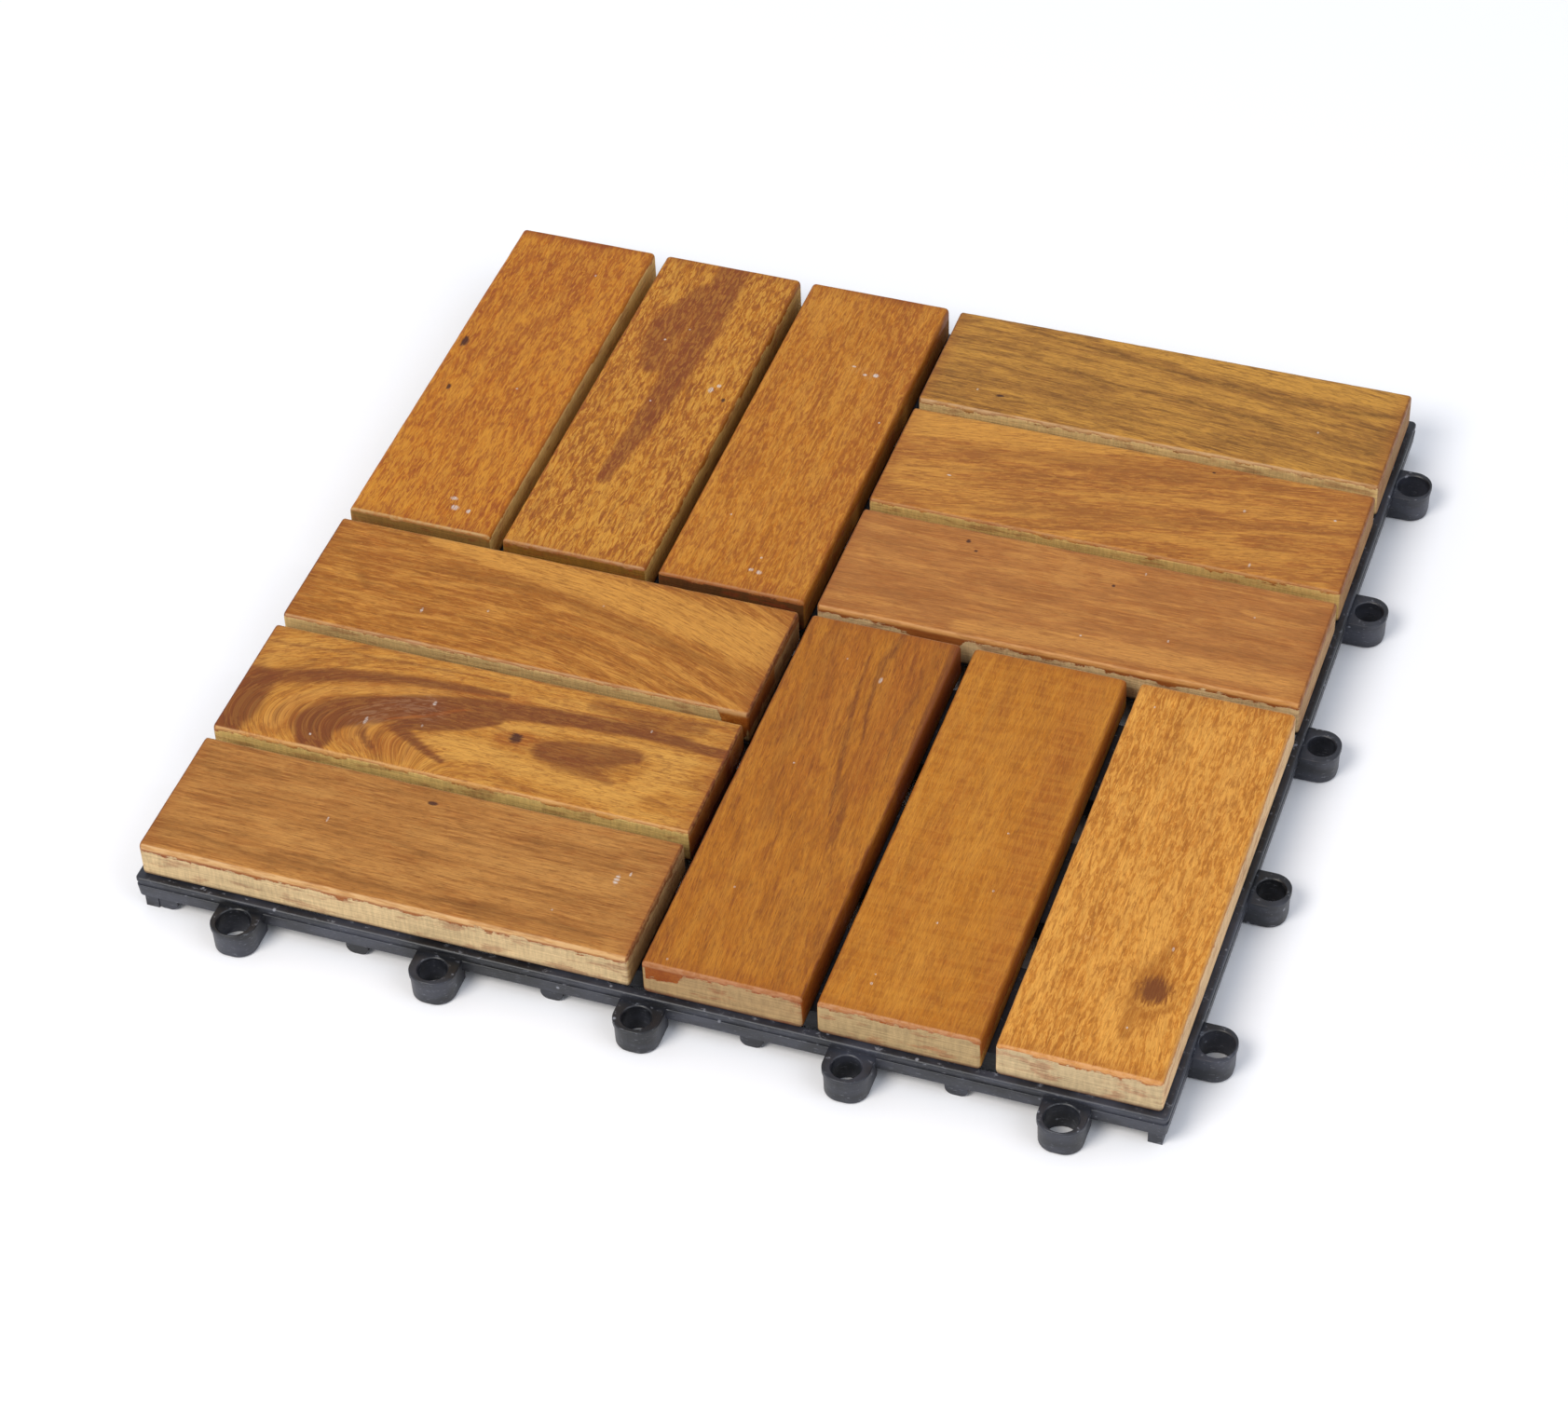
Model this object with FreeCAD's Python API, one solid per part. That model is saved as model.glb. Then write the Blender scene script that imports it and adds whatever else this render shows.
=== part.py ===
import FreeCAD, Part
import os

os.makedirs("parts", exist_ok=True)

Vector = FreeCAD.Vector
upward = Vector(0, 0, 1)

# Interlocking deck tile: twelve wood slats in four blocks of three, laid in turn
# left to right and front to back, screwed from below to one moulded plastic base.
# Millimetres, x to the right, y to the back, z up, floor at z = 0. The tile is drawn
# about its own middle and moved at the end to stand over the middle of its outer box.

# Wood
slat_width = 46.0
slat_thickness = 12.0
slat_gap = 4.0
slat_end_gap = 4.0
slats_in_block = 3
slat_top_round = 1.5
slat_bottom_round = 1.5
slat_end_round = 0.9

slat_pitch = slat_width + slat_gap
block_size = slats_in_block * slat_pitch
slat_length = block_size - slat_end_gap
block_centre = block_size / 2
tile_size = 2 * block_size
tile_half = tile_size / 2

# Base: skin, rim and ribs
base_height = 12.0
skin_thickness = 1.6
rim_height = 6.8
rim_wall = 2.5
rim_corner_round = 1.5
rim_edge_round = 0.7
rim_draft = 0.3
groove_start = 1.3
groove_end = 2.8
groove_depth = 0.5
groove_lip_round = 0.3
opening_size = 18.0
opening_corner_round = 1.5
rib_thickness = 1.6

skin_underside = base_height - skin_thickness
rim_bottom = base_height - rim_height
wall_inside = tile_half - rim_wall
opening_half = opening_size / 2
plate_half = (slat_pitch - opening_size) / 2

# Screws and the posts that take them
screw_shank_radius = 1.75
screw_head_radius = 3.5
screw_head_height = 2.2
screw_head_edge = 0.9
screw_in_wood = 9.0
screw_tip_length = 2.5
screw_cross_width = 0.9
screw_cross_span = 3.8
screw_cross_depth = 1.3
screw_pilot_clearance = 0.05
screw_passage_clearance = 0.35
screw_end_room = 0.3
screw_from_block_centre = slat_pitch
post_radius = 5.6
post_bore_radius = 4.0
post_floor = 3.0
post_foot_round = 0.5

screw_seat = base_height - post_floor
screw_tip = base_height + screw_in_wood

# Loops on the front and right edges
loops_per_edge = 5
loop_offset = 2.5
loop_reach = 10.7
loop_half_width = 6.8
loop_corner_round = 5.8
loop_top = 9.3
loop_floor_gap = 0.3
loop_lip_height = 1.6
loop_lip_step = 0.3
loop_draft = 0.2
loop_root = 2.0
loop_edge_round = 0.4
bore_lead_in = 0.3
middle_bore_radius = 4.2
end_bore_radius = 4.9

loop_pitch = tile_size / loops_per_edge

# Pegs on the left and back edges, sized from the loops they drop into, each in a
# pocket that takes the loop with room to spare, and clear of the groove in the rim
peg_clearance = 0.4
peg_to_groove = 0.1
peg_wall = 1.6
peg_tip_gap = 2.0
peg_tip_chamfer = 0.5
pocket_side_room = 2.4
pocket_end_room = 3.3

end_peg_radius = end_bore_radius - peg_clearance
bore_centre = groove_depth + peg_to_groove + end_peg_radius

# Studs and corner legs under the rim
studs_per_edge = 5
stud_first_from_corner = 8.0
stud_last_from_corner = 58.8
stud_width = 6.5
stud_depth = 3.0
stud_set_back = 1.8
stud_foot_round = 2.4
leg_arm = 4.0
leg_thickness = 1.5
leg_set_back = 1.5

stud_row = tile_size - stud_first_from_corner - stud_last_from_corner
stud_pitch = stud_row / (studs_per_edge - 1)

# Small overlap that lets two volumes of one moulding join without a seam
join = 0.2


def rounded_rectangle(x0, y0, x1, y1, radius, z):
    """Closed outline with rounded corners in the plane at height z."""
    lines = []
    corners = [
        (x1 - radius, y0 + radius, -90),
        (x1 - radius, y1 - radius, 0),
        (x0 + radius, y1 - radius, 90),
        (x0 + radius, y0 + radius, 180),
    ]
    arcs = []
    for cx, cy, start in corners:
        arcs.append(Part.makeCircle(radius, Vector(cx, cy, z), upward, start, start + 90))
    for index in range(4):
        this_arc = arcs[index]
        next_arc = arcs[(index + 1) % 4]
        lines.append(this_arc)
        start_point = this_arc.valueAt(this_arc.LastParameter)
        end_point = next_arc.valueAt(next_arc.FirstParameter)
        if start_point.distanceToPoint(end_point) > 0.001:
            lines.append(Part.makeLine(start_point, end_point))
    return Part.Wire(lines)


def prism(outline, height):
    return Part.Face(outline).extrude(Vector(0, 0, height))


def tapered(lower_outline, upper_outline):
    return Part.makeLoft([lower_outline, upper_outline], True, True)


def block(x0, y0, z0, x1, y1, z1):
    return Part.makeBox(x1 - x0, y1 - y0, z1 - z0, Vector(x0, y0, z0))


def edges_at_height(shape, z):
    found = []
    for edge in shape.Edges:
        box = edge.BoundBox
        if abs(box.ZMin - z) < 0.001 and abs(box.ZMax - z) < 0.001:
            found.append(edge)
    return found


def placed(shape, turn, x, y):
    """Copy of a shape turned about z and moved to x, y."""
    copy = shape.copy()
    copy.rotate(Vector(0, 0, 0), upward, turn)
    copy.translate(Vector(x, y, 0))
    return copy


# Stations shared by the loops of one tile and the pegs of the next
stations = []
for index in range(loops_per_edge):
    stations.append((index - (loops_per_edge - 1) / 2) * loop_pitch + loop_offset)


# Wood slats
def slat_profile():
    """Cross section of a slat that runs along x, at its left end."""
    half = slat_width / 2
    bottom = base_height
    top = base_height + slat_thickness
    x = -slat_length / 2
    diagonal_top = slat_top_round * (1 - 0.5 ** 0.5)
    diagonal_bottom = slat_bottom_round * (1 - 0.5 ** 0.5)
    edges = [
        Part.makeLine(
            Vector(x, -half + slat_bottom_round, bottom),
            Vector(x, half - slat_bottom_round, bottom),
        ),
        Part.Arc(
            Vector(x, half - slat_bottom_round, bottom),
            Vector(x, half - diagonal_bottom, bottom + diagonal_bottom),
            Vector(x, half, bottom + slat_bottom_round),
        ).toShape(),
        Part.makeLine(
            Vector(x, half, bottom + slat_bottom_round),
            Vector(x, half, top - slat_top_round),
        ),
        Part.Arc(
            Vector(x, half, top - slat_top_round),
            Vector(x, half - diagonal_top, top - diagonal_top),
            Vector(x, half - slat_top_round, top),
        ).toShape(),
        Part.makeLine(
            Vector(x, half - slat_top_round, top),
            Vector(x, -half + slat_top_round, top),
        ),
        Part.Arc(
            Vector(x, -half + slat_top_round, top),
            Vector(x, -half + diagonal_top, top - diagonal_top),
            Vector(x, -half, top - slat_top_round),
        ).toShape(),
        Part.makeLine(
            Vector(x, -half, top - slat_top_round),
            Vector(x, -half, bottom + slat_bottom_round),
        ),
        Part.Arc(
            Vector(x, -half, bottom + slat_bottom_round),
            Vector(x, -half + diagonal_bottom, bottom + diagonal_bottom),
            Vector(x, -half + slat_bottom_round, bottom),
        ).toShape(),
    ]
    return Part.Wire(edges)


def make_slat():
    """Slat along x, centred on the origin, with a pilot hole for each screw."""
    slat = Part.Face(slat_profile()).extrude(Vector(slat_length, 0, 0))
    end_edges = []
    for edge in slat.Edges:
        box = edge.BoundBox
        if box.XLength < 0.001:
            end_edges.append(edge)
    slat = slat.makeFillet(slat_end_round, end_edges)
    pilot_radius = screw_shank_radius + screw_pilot_clearance
    for side in (-1, 1):
        centre = side * screw_from_block_centre
        straight = screw_in_wood - screw_tip_length + screw_end_room
        pilot = Part.makeCylinder(pilot_radius, straight, Vector(centre, 0, base_height))
        point = Part.makeCone(
            pilot_radius,
            0,
            screw_tip_length,
            Vector(centre, 0, base_height + straight),
        )
        slat = slat.cut(pilot.fuse(point))
    return slat


# Each block: name, side in x, side in y, turn of its slats
blocks = [
    ("front_left", -1, -1, 0),
    ("front_right", 1, -1, 90),
    ("back_right", 1, 1, 0),
    ("back_left", -1, 1, 90),
]

slats = {}
screw_places = []
plain_slat = make_slat()
for name, side_x, side_y, turn in blocks:
    for number in range(slats_in_block):
        across = (number - (slats_in_block - 1) / 2) * slat_pitch
        x = side_x * block_centre
        y = side_y * block_centre
        if turn == 0:
            y = y + across
        else:
            x = x + across
        slats["slat_" + name + "_" + str(number + 1)] = placed(plain_slat, turn, x, y)
        for side in (-1, 1):
            along = side * screw_from_block_centre
            if turn == 0:
                screw_places.append((x + along, y))
            else:
                screw_places.append((x, y + along))


# Screws
def make_screw():
    """Pan head wood screw, point up, its head bearing under the post floor."""
    head_bottom = screw_seat - screw_head_height
    head_edge = screw_seat - screw_head_edge
    shoulder = Vector(screw_head_radius, 0, head_edge)
    crown = Part.Arc(
        Vector(0, 0, head_bottom),
        Vector(screw_head_radius * 0.62, 0, head_bottom + 0.28),
        shoulder,
    ).toShape()
    outline = [
        Vector(screw_head_radius, 0, screw_seat),
        Vector(screw_shank_radius, 0, screw_seat),
        Vector(screw_shank_radius, 0, screw_tip - screw_tip_length),
        Vector(0, 0, screw_tip),
        Vector(0, 0, head_bottom),
    ]
    edges = [crown]
    last = shoulder
    for point in outline:
        edges.append(Part.makeLine(last, point))
        last = point
    solid = Part.Face(Part.Wire(edges)).revolve(Vector(0, 0, 0), upward, 360)
    half = screw_cross_width / 2
    span = screw_cross_span / 2
    cross_top = head_bottom + screw_cross_depth
    first = block(-span, -half, head_bottom - 1, span, half, cross_top)
    second = block(-half, -span, head_bottom - 1, half, span, cross_top)
    return solid.cut(first.fuse(second))


screw = make_screw()
screws = []
for x, y in screw_places:
    screws.append(placed(screw, 0, x, y))


# Base, body of the moulding with the groove round its edge
def square(half, radius, z):
    return rounded_rectangle(-half, -half, half, half, radius, z)


groove_roof = base_height - groove_start
groove_floor = base_height - groove_end
groove_half = tile_half - groove_depth

upper_strip = prism(square(tile_half, rim_corner_round, groove_roof), groove_start)
upper_strip = upper_strip.makeFillet(rim_edge_round, edges_at_height(upper_strip, base_height))
groove_core = prism(
    square(groove_half, rim_corner_round - groove_depth, groove_floor - join),
    groove_end - groove_start + 2 * join,
)
lower_wall = tapered(
    square(tile_half - rim_draft, rim_corner_round, rim_bottom),
    square(tile_half, rim_corner_round, groove_floor),
)
lower_wall = lower_wall.makeFillet(groove_lip_round, edges_at_height(lower_wall, groove_floor))
body = upper_strip.fuse([groove_core, lower_wall])

# Clear spans between ribs along one direction, with the middle of each opening column
rib_half = rib_thickness / 2
rib_lines = []
opening_count = int(tile_size / slat_pitch)
for index in range(opening_count):
    plate = (index - (opening_count - 1) / 2) * slat_pitch
    rib_lines.append(plate - plate_half + rib_half)
    rib_lines.append(plate)
    rib_lines.append(plate + plate_half - rib_half)
spans = []
last = -wall_inside
for line in rib_lines:
    spans.append((last, line - rib_half))
    last = line + rib_half
spans.append((last, wall_inside))


def is_opening_span(span):
    return abs(span[1] - span[0] - opening_size) < 0.01


def is_border_span(span):
    return span[0] <= -wall_inside or span[1] >= wall_inside


def clear_of_pegs(middle):
    """True where an opening by the pegs' edge leaves the root of every peg whole."""
    peg_room = opening_half + end_bore_radius
    for station in stations:
        if abs(station - middle) < peg_room:
            return False
    return True


def opens_to_top(span_x, span_y):
    """True where the space between ribs is an opening through the skin."""
    open_x = is_opening_span(span_x)
    open_y = is_opening_span(span_y)
    if open_x and open_y:
        return True
    if open_x and is_border_span(span_y):
        return span_y[1] < 0 or clear_of_pegs((span_x[0] + span_x[1]) / 2)
    if open_y and is_border_span(span_x):
        return span_x[0] > 0 or clear_of_pegs((span_y[0] + span_y[1]) / 2)
    return False


cells = []
below = rim_bottom - 1
for span_x in spans:
    for span_y in spans:
        x0, x1 = span_x
        y0, y1 = span_y
        if opens_to_top(span_x, span_y):
            outline = rounded_rectangle(x0, y0, x1, y1, opening_corner_round, below)
            cells.append(prism(outline, base_height + 1 - below))
        else:
            cells.append(block(x0, y0, below, x1, y1, skin_underside))

# Pockets for the next tiles' loops, open through the rim and downwards: left edge, back edge
pocket_half = loop_half_width + pocket_side_room
pocket_depth = loop_reach + pocket_end_room
pocket = block(-1, -pocket_half, below, pocket_depth, pocket_half, skin_underside)
for station in stations:
    cells.append(placed(pocket, 0, -tile_half, station))
    cells.append(placed(pocket, -90, station, tile_half))
body = body.cut(cells)


# Loops: drawn reaching out along x from a rim face at x = 0
def loop_outline(reach, half_width, radius, z):
    points = [
        Vector(-loop_root, -half_width, z),
        Vector(reach - radius, -half_width, z),
        Vector(reach, -half_width + radius, z),
        Vector(reach, half_width - radius, z),
        Vector(reach - radius, half_width, z),
        Vector(-loop_root, half_width, z),
    ]
    edges = [
        Part.makeLine(points[0], points[1]),
        Part.makeCircle(radius, Vector(reach - radius, -half_width + radius, z), upward, -90, 0),
        Part.makeLine(points[2], points[3]),
        Part.makeCircle(radius, Vector(reach - radius, half_width - radius, z), upward, 0, 90),
        Part.makeLine(points[4], points[5]),
        Part.makeLine(points[5], points[0]),
    ]
    return Part.Wire(edges)


def make_loop():
    lip_bottom = loop_top - loop_lip_height
    lip = prism(loop_outline(loop_reach, loop_half_width, loop_corner_round, lip_bottom), loop_lip_height)
    lip = lip.makeFillet(loop_edge_round, edges_at_height(lip, loop_top))
    inner = loop_lip_step
    lower = loop_lip_step + loop_draft
    sleeve = tapered(
        loop_outline(loop_reach - lower, loop_half_width - lower, loop_corner_round - lower, loop_floor_gap),
        loop_outline(loop_reach - inner, loop_half_width - inner, loop_corner_round - inner, lip_bottom),
    )
    sleeve = sleeve.makeFillet(loop_edge_round, edges_at_height(sleeve, loop_floor_gap))
    return lip.fuse(sleeve)


def make_bore(radius):
    """Round hole of a loop, up to the loop's top, with a lead in round its top edge."""
    straight = loop_top - bore_lead_in - loop_floor_gap + 1
    through = Part.makeCylinder(radius, straight, Vector(bore_centre, 0, loop_floor_gap - 1))
    mouth = Part.makeCone(
        radius,
        radius + bore_lead_in,
        bore_lead_in,
        Vector(bore_centre, 0, loop_top - bore_lead_in),
    )
    return through.fuse(mouth)


loop = make_loop()
middle_bore = make_bore(middle_bore_radius)
end_bore = make_bore(end_bore_radius)


# Pegs: drawn at an edge whose rim face is at x = 0, the tile lying towards +x
def make_peg(bore_radius):
    radius = bore_radius - peg_clearance
    peg = Part.makeCylinder(radius, skin_underside + join - peg_tip_gap, Vector(bore_centre, 0, peg_tip_gap))
    peg = peg.makeChamfer(peg_tip_chamfer, edges_at_height(peg, peg_tip_gap))
    bore = Part.makeCylinder(
        radius - peg_wall,
        skin_underside - peg_tip_gap + 1,
        Vector(bore_centre, 0, peg_tip_gap - 1),
    )
    return peg.cut(bore)


middle_peg = make_peg(middle_bore_radius)
end_peg = make_peg(end_bore_radius)

# Studs under the rim, drawn like the pegs; the foot of each is rounded side to side
stud = block(
    stud_set_back,
    -stud_width / 2,
    0,
    stud_set_back + stud_depth,
    stud_width / 2,
    skin_underside + join,
)
foot_edges = []
for edge in edges_at_height(stud, 0):
    if edge.BoundBox.YLength < 0.001:
        foot_edges.append(edge)
stud = stud.makeFillet(stud_foot_round, foot_edges)

# Corner legs: the front left one, the others are turned copies
leg_near = -tile_half + leg_set_back
leg = block(
    leg_near,
    leg_near,
    0,
    leg_near + leg_arm,
    leg_near + leg_thickness,
    rim_bottom + 1,
)
leg = leg.fuse(
    block(
        leg_near,
        leg_near,
        0,
        leg_near + leg_thickness,
        leg_near + leg_arm,
        rim_bottom + 1,
    )
)

# Posts under the middle of every plate between the openings
post = Part.makeCylinder(post_radius, skin_underside + join)
post = post.makeFillet(post_foot_round, edges_at_height(post, 0))

additions = []
removals = []
last_station = loops_per_edge - 1
for index, station in enumerate(stations):
    at_end = index == 0 or index == last_station
    bore = end_bore if at_end else middle_bore
    peg = end_peg if at_end else middle_peg
    # loops: right edge, then front edge
    for turn, x, y in ((0, tile_half, station), (-90, station, -tile_half)):
        additions.append(placed(loop, turn, x, y))
        removals.append(placed(bore, turn, x, y))
    # pegs: left edge, then back edge
    for turn, x, y in ((0, -tile_half, station), (-90, station, tile_half)):
        additions.append(placed(peg, turn, x, y))

for index in range(studs_per_edge):
    place = -tile_half + stud_first_from_corner + index * stud_pitch
    additions.append(placed(stud, 0, -tile_half, place))
    additions.append(placed(stud, 180, tile_half, place))
    additions.append(placed(stud, 90, place, -tile_half))
    additions.append(placed(stud, -90, place, tile_half))

for quarter in range(4):
    additions.append(placed(leg, 90 * quarter, 0, 0))

screw_spots = set()
for x, y in screw_places:
    screw_spots.add((round(x, 3), round(y, 3)))
passage_radius = screw_shank_radius + screw_passage_clearance
for index_x in range(opening_count):
    for index_y in range(opening_count):
        x = (index_x - (opening_count - 1) / 2) * slat_pitch
        y = (index_y - (opening_count - 1) / 2) * slat_pitch
        additions.append(placed(post, 0, x, y))
        takes_screw = (round(x, 3), round(y, 3)) in screw_spots
        bore_top = screw_seat if takes_screw else skin_underside
        removals.append(Part.makeCylinder(post_bore_radius, bore_top + 1, Vector(x, y, -1)))
        if takes_screw:
            passage = Part.makeCylinder(passage_radius, post_floor + 2, Vector(x, y, screw_seat - 1))
            removals.append(passage)

base = body.fuse(additions)
base = base.cut(removals)
base = base.removeSplitter()

# Everything moves so that the origin is under the middle of the outer box
origin_move = Vector(-loop_reach / 2, loop_reach / 2, 0)
pieces = dict(slats)
pieces["base_grid"] = base
pieces["slat_screws"] = Part.makeCompound(screws)
for node, shape in pieces.items():
    moved = shape.copy()
    moved.translate(origin_move)
    moved.exportStep("parts/" + node + ".step")
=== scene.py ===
import math

import bpy
import numpy as np
from mathutils import Matrix, Vector


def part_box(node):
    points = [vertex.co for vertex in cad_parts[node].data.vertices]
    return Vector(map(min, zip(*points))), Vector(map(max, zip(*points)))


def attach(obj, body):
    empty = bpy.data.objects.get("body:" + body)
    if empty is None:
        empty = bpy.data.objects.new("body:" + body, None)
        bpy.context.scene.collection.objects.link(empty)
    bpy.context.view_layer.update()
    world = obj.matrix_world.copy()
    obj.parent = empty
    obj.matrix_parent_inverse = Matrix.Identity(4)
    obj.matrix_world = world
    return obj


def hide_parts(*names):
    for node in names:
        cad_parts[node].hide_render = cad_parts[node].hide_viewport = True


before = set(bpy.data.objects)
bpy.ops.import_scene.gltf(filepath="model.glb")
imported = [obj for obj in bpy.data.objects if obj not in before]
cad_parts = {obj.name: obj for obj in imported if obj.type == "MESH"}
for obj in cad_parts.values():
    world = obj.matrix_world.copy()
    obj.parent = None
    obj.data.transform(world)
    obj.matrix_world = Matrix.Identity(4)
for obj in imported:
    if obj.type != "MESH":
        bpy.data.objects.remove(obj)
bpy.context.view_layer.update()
print("frame loaded:", len(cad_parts), "nodes")

# Interlocking deck tile: twelve stained wood slats on one black moulded base.
# Metres everywhere, apart from the slats' own coordinates, which are millimetres:
# u runs along a slat, v across it, h up from its underside.
millimetre = 0.001


def shade(red, green, blue):
    # colour as seen on screen, 0 to 255, made linear for the shader
    linear = []
    for value in (red, green, blue):
        share = value / 255
        linear.append(share / 12.92 if share <= 0.04045 else ((share + 0.055) / 1.055) ** 2.4)
    return (*linear, 1.0)


# Camera: it stands where the photograph's did, measured from the middle of the tile's square
cameraLook = {
    "eye": (0.30739, -0.85212, 0.84815),
    "aim": (-0.00137, -0.01994, 0.00055),
    "roll": 2.25,       # degrees, right side down
    "lens": 95.34,      # mm, on a sensor so many mm wide
    "sensor": 36,
    "nearest": 0.01,    # metres
}


def makeCamera(look):
    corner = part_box("slat_front_left_1")[0]
    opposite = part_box("slat_back_right_3")[1]
    middle = Vector(((corner.x + opposite.x) / 2, (corner.y + opposite.y) / 2, 0))
    eye = middle + Vector(look["eye"])
    forward = (middle + Vector(look["aim"]) - eye).normalized()
    level = forward.cross(Vector((0, 0, 1))).normalized()
    above = level.cross(forward)
    roll = math.radians(look["roll"])
    right = math.cos(roll) * level - math.sin(roll) * above
    up = right.cross(forward)
    camera = bpy.data.objects.new("camera", bpy.data.cameras.new("camera"))
    camera.matrix_world = Matrix((
        (right.x, up.x, -forward.x, eye.x),
        (right.y, up.y, -forward.y, eye.y),
        (right.z, up.z, -forward.z, eye.z),
        (0, 0, 0, 1),
    ))
    camera.data.lens = look["lens"]
    camera.data.sensor_width = look["sensor"]
    camera.data.clip_start = look["nearest"]
    bpy.context.scene.collection.objects.link(camera)
    bpy.context.scene.camera = camera


makeCamera(cameraLook)
print("camera in place")


# Small helpers for node trees, used by the shapes and the finishes alike
def addNode(tree, kind, inputs=None, **settings):
    node = tree.nodes.new(kind)
    for name, value in settings.items():
        setattr(node, name, value)
    for key, value in (inputs or {}).items():
        if isinstance(value, bpy.types.NodeSocket):
            tree.links.new(value, node.inputs[key])
        else:
            node.inputs[key].default_value = value
    return node


def calc(tree, operation, first, second=None, third=None):
    inputs = {0: first}
    if second is not None:
        inputs[1] = second
    if third is not None:
        inputs[2] = third
    return addNode(tree, "ShaderNodeMath", inputs, operation=operation).outputs[0]


def scaledBy(tree, *factors):
    # product of any number of values
    product = factors[0]
    for factor in factors[1:]:
        product = calc(tree, "MULTIPLY", product, factor)
    return product


def centred(tree, noise, spread):
    # a noise, which lies around a half, spread out around nought
    return calc(tree, "MULTIPLY", calc(tree, "SUBTRACT", noise, 0.5), spread)


def vectorCalc(tree, operation, first, second):
    # the second is a vector, or a plain number to scale by
    key = "Scale" if operation == "SCALE" else 1
    return addNode(tree, "ShaderNodeVectorMath", {0: first, key: second}, operation=operation).outputs[0]


def separate(tree, vector):
    node = addNode(tree, "ShaderNodeSeparateXYZ", {0: vector})
    return node.outputs[0], node.outputs[1], node.outputs[2]


def combine(tree, x, y, z):
    return addNode(tree, "ShaderNodeCombineXYZ", {0: x, 1: y, 2: z}).outputs[0]


def smoothRange(tree, value, low, high, outLow=0.0, outHigh=1.0):
    # smooth step of a value from low to high
    node = addNode(tree, "ShaderNodeMapRange", {0: value, 1: low, 2: high, 3: outLow, 4: outHigh},
                   interpolation_type="SMOOTHSTEP")
    return node.outputs[0]


def smoothFall(tree, value, low, high, most=1.0):
    return smoothRange(tree, value, low, high, most, 0.0)


def startTree(name, sizes, vectors=()):
    # Geometry Nodes tree with named sizes, and a finish for its faces
    tree = bpy.data.node_groups.new(name, "GeometryNodeTree")
    tree.is_modifier = True
    sockets = [("geometry", "Geometry")]
    sockets += [(size, "Float") for size in sizes]
    sockets += [(vector, "Vector") for vector in vectors]
    sockets.append(("finish", "Material"))
    for socket, kind in sockets:
        tree.interface.new_socket(name=socket, in_out="INPUT", socket_type="NodeSocket" + kind)
    tree.interface.new_socket(name="geometry", in_out="OUTPUT", socket_type="NodeSocketGeometry")
    return tree, tree.nodes.new("NodeGroupInput").outputs


def endTree(tree, geometry, finish):
    real = addNode(tree, "GeometryNodeRealizeInstances", {"Geometry": geometry})
    finished = addNode(tree, "GeometryNodeSetMaterial", {"Geometry": real.outputs[0], "Material": finish})
    out = tree.nodes.new("NodeGroupOutput")
    tree.links.new(finished.outputs[0], out.inputs[0])
    return tree


def setInput(modifier, name, value):
    # a modifier keeps its inputs under the socket's identifier
    for item in modifier.node_group.interface.items_tree:
        if item.item_type == "SOCKET" and item.in_out == "INPUT" and item.name == name:
            modifier[item.identifier] = value


def growPiece(name, tree, values, points=()):
    # runs a Geometry Nodes tree once and keeps its result as a plain mesh
    mesh = bpy.data.meshes.new(name)
    mesh.from_pydata(points, [], [])
    piece = bpy.data.objects.new(name, mesh)
    bpy.context.scene.collection.objects.link(piece)
    modifier = piece.modifiers.new("grow", "NODES")
    modifier.node_group = tree
    for key, value in values.items():
        setInput(modifier, key, value)
    graph = bpy.context.evaluated_depsgraph_get()
    grown = bpy.data.meshes.new_from_object(
        piece.evaluated_get(graph), preserve_all_data_layers=True, depsgraph=graph)
    piece.modifiers.remove(modifier)
    piece.data = grown
    grown.name = name
    return piece


# Slats, shaped by one Geometry Nodes tree. Sizes are in mm.
slatShape = {
    "topRound": 1.5,        # long edges on top
    "bottomRound": 1.5,
    "endRound": 0.9,
    "unevenness": 0.16,
    "edgeWear": 0.6,
}
slatMesh = {
    "rows": (130, 46, 16),              # along, across and up
    "crowding": (1.47, 1.42, 1.2),      # how far the rows crowd towards the edges, radians
    "waveGrain": (30, 90, 90),          # waves to a metre along, across and up
    "chipGrain": (160, 420, 420),
    "wornReach": (0.0008, 0.0024),      # metres from a top edge where the wear fades
    "footReach": (0.0015, 0.005),       # metres above the underside, which stays flat
}
tiny = 1e-9     # keeps a corner's length off nought


def crowded(tree, value, half, crowd):
    # moves rows towards the edges of a side without changing its ends
    share = calc(tree, "DIVIDE", value, half)
    bent = calc(tree, "SINE", calc(tree, "MULTIPLY", share, crowd))
    return calc(tree, "MULTIPLY", calc(tree, "DIVIDE", bent, math.sin(crowd)), half)


def splitSide(tree, value, limit):
    # sign, part inside the limit and part beyond it
    size = calc(tree, "ABSOLUTE", value)
    beyond = calc(tree, "MAXIMUM", calc(tree, "SUBTRACT", size, limit), 0.0)
    return calc(tree, "SIGN", value), calc(tree, "MINIMUM", size, limit), beyond


def squareRootOfSquares(tree, first, second):
    squares = calc(tree, "MULTIPLY_ADD", first, first, calc(tree, "MULTIPLY", second, second))
    return calc(tree, "SQRT", squares)


def roundShare(tree, first, second):
    # turns a square corner into a round one: largest of the two over their length
    length = calc(tree, "MAXIMUM", squareRootOfSquares(tree, first, second), tiny)
    return calc(tree, "DIVIDE", calc(tree, "MAXIMUM", first, second), length)


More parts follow.
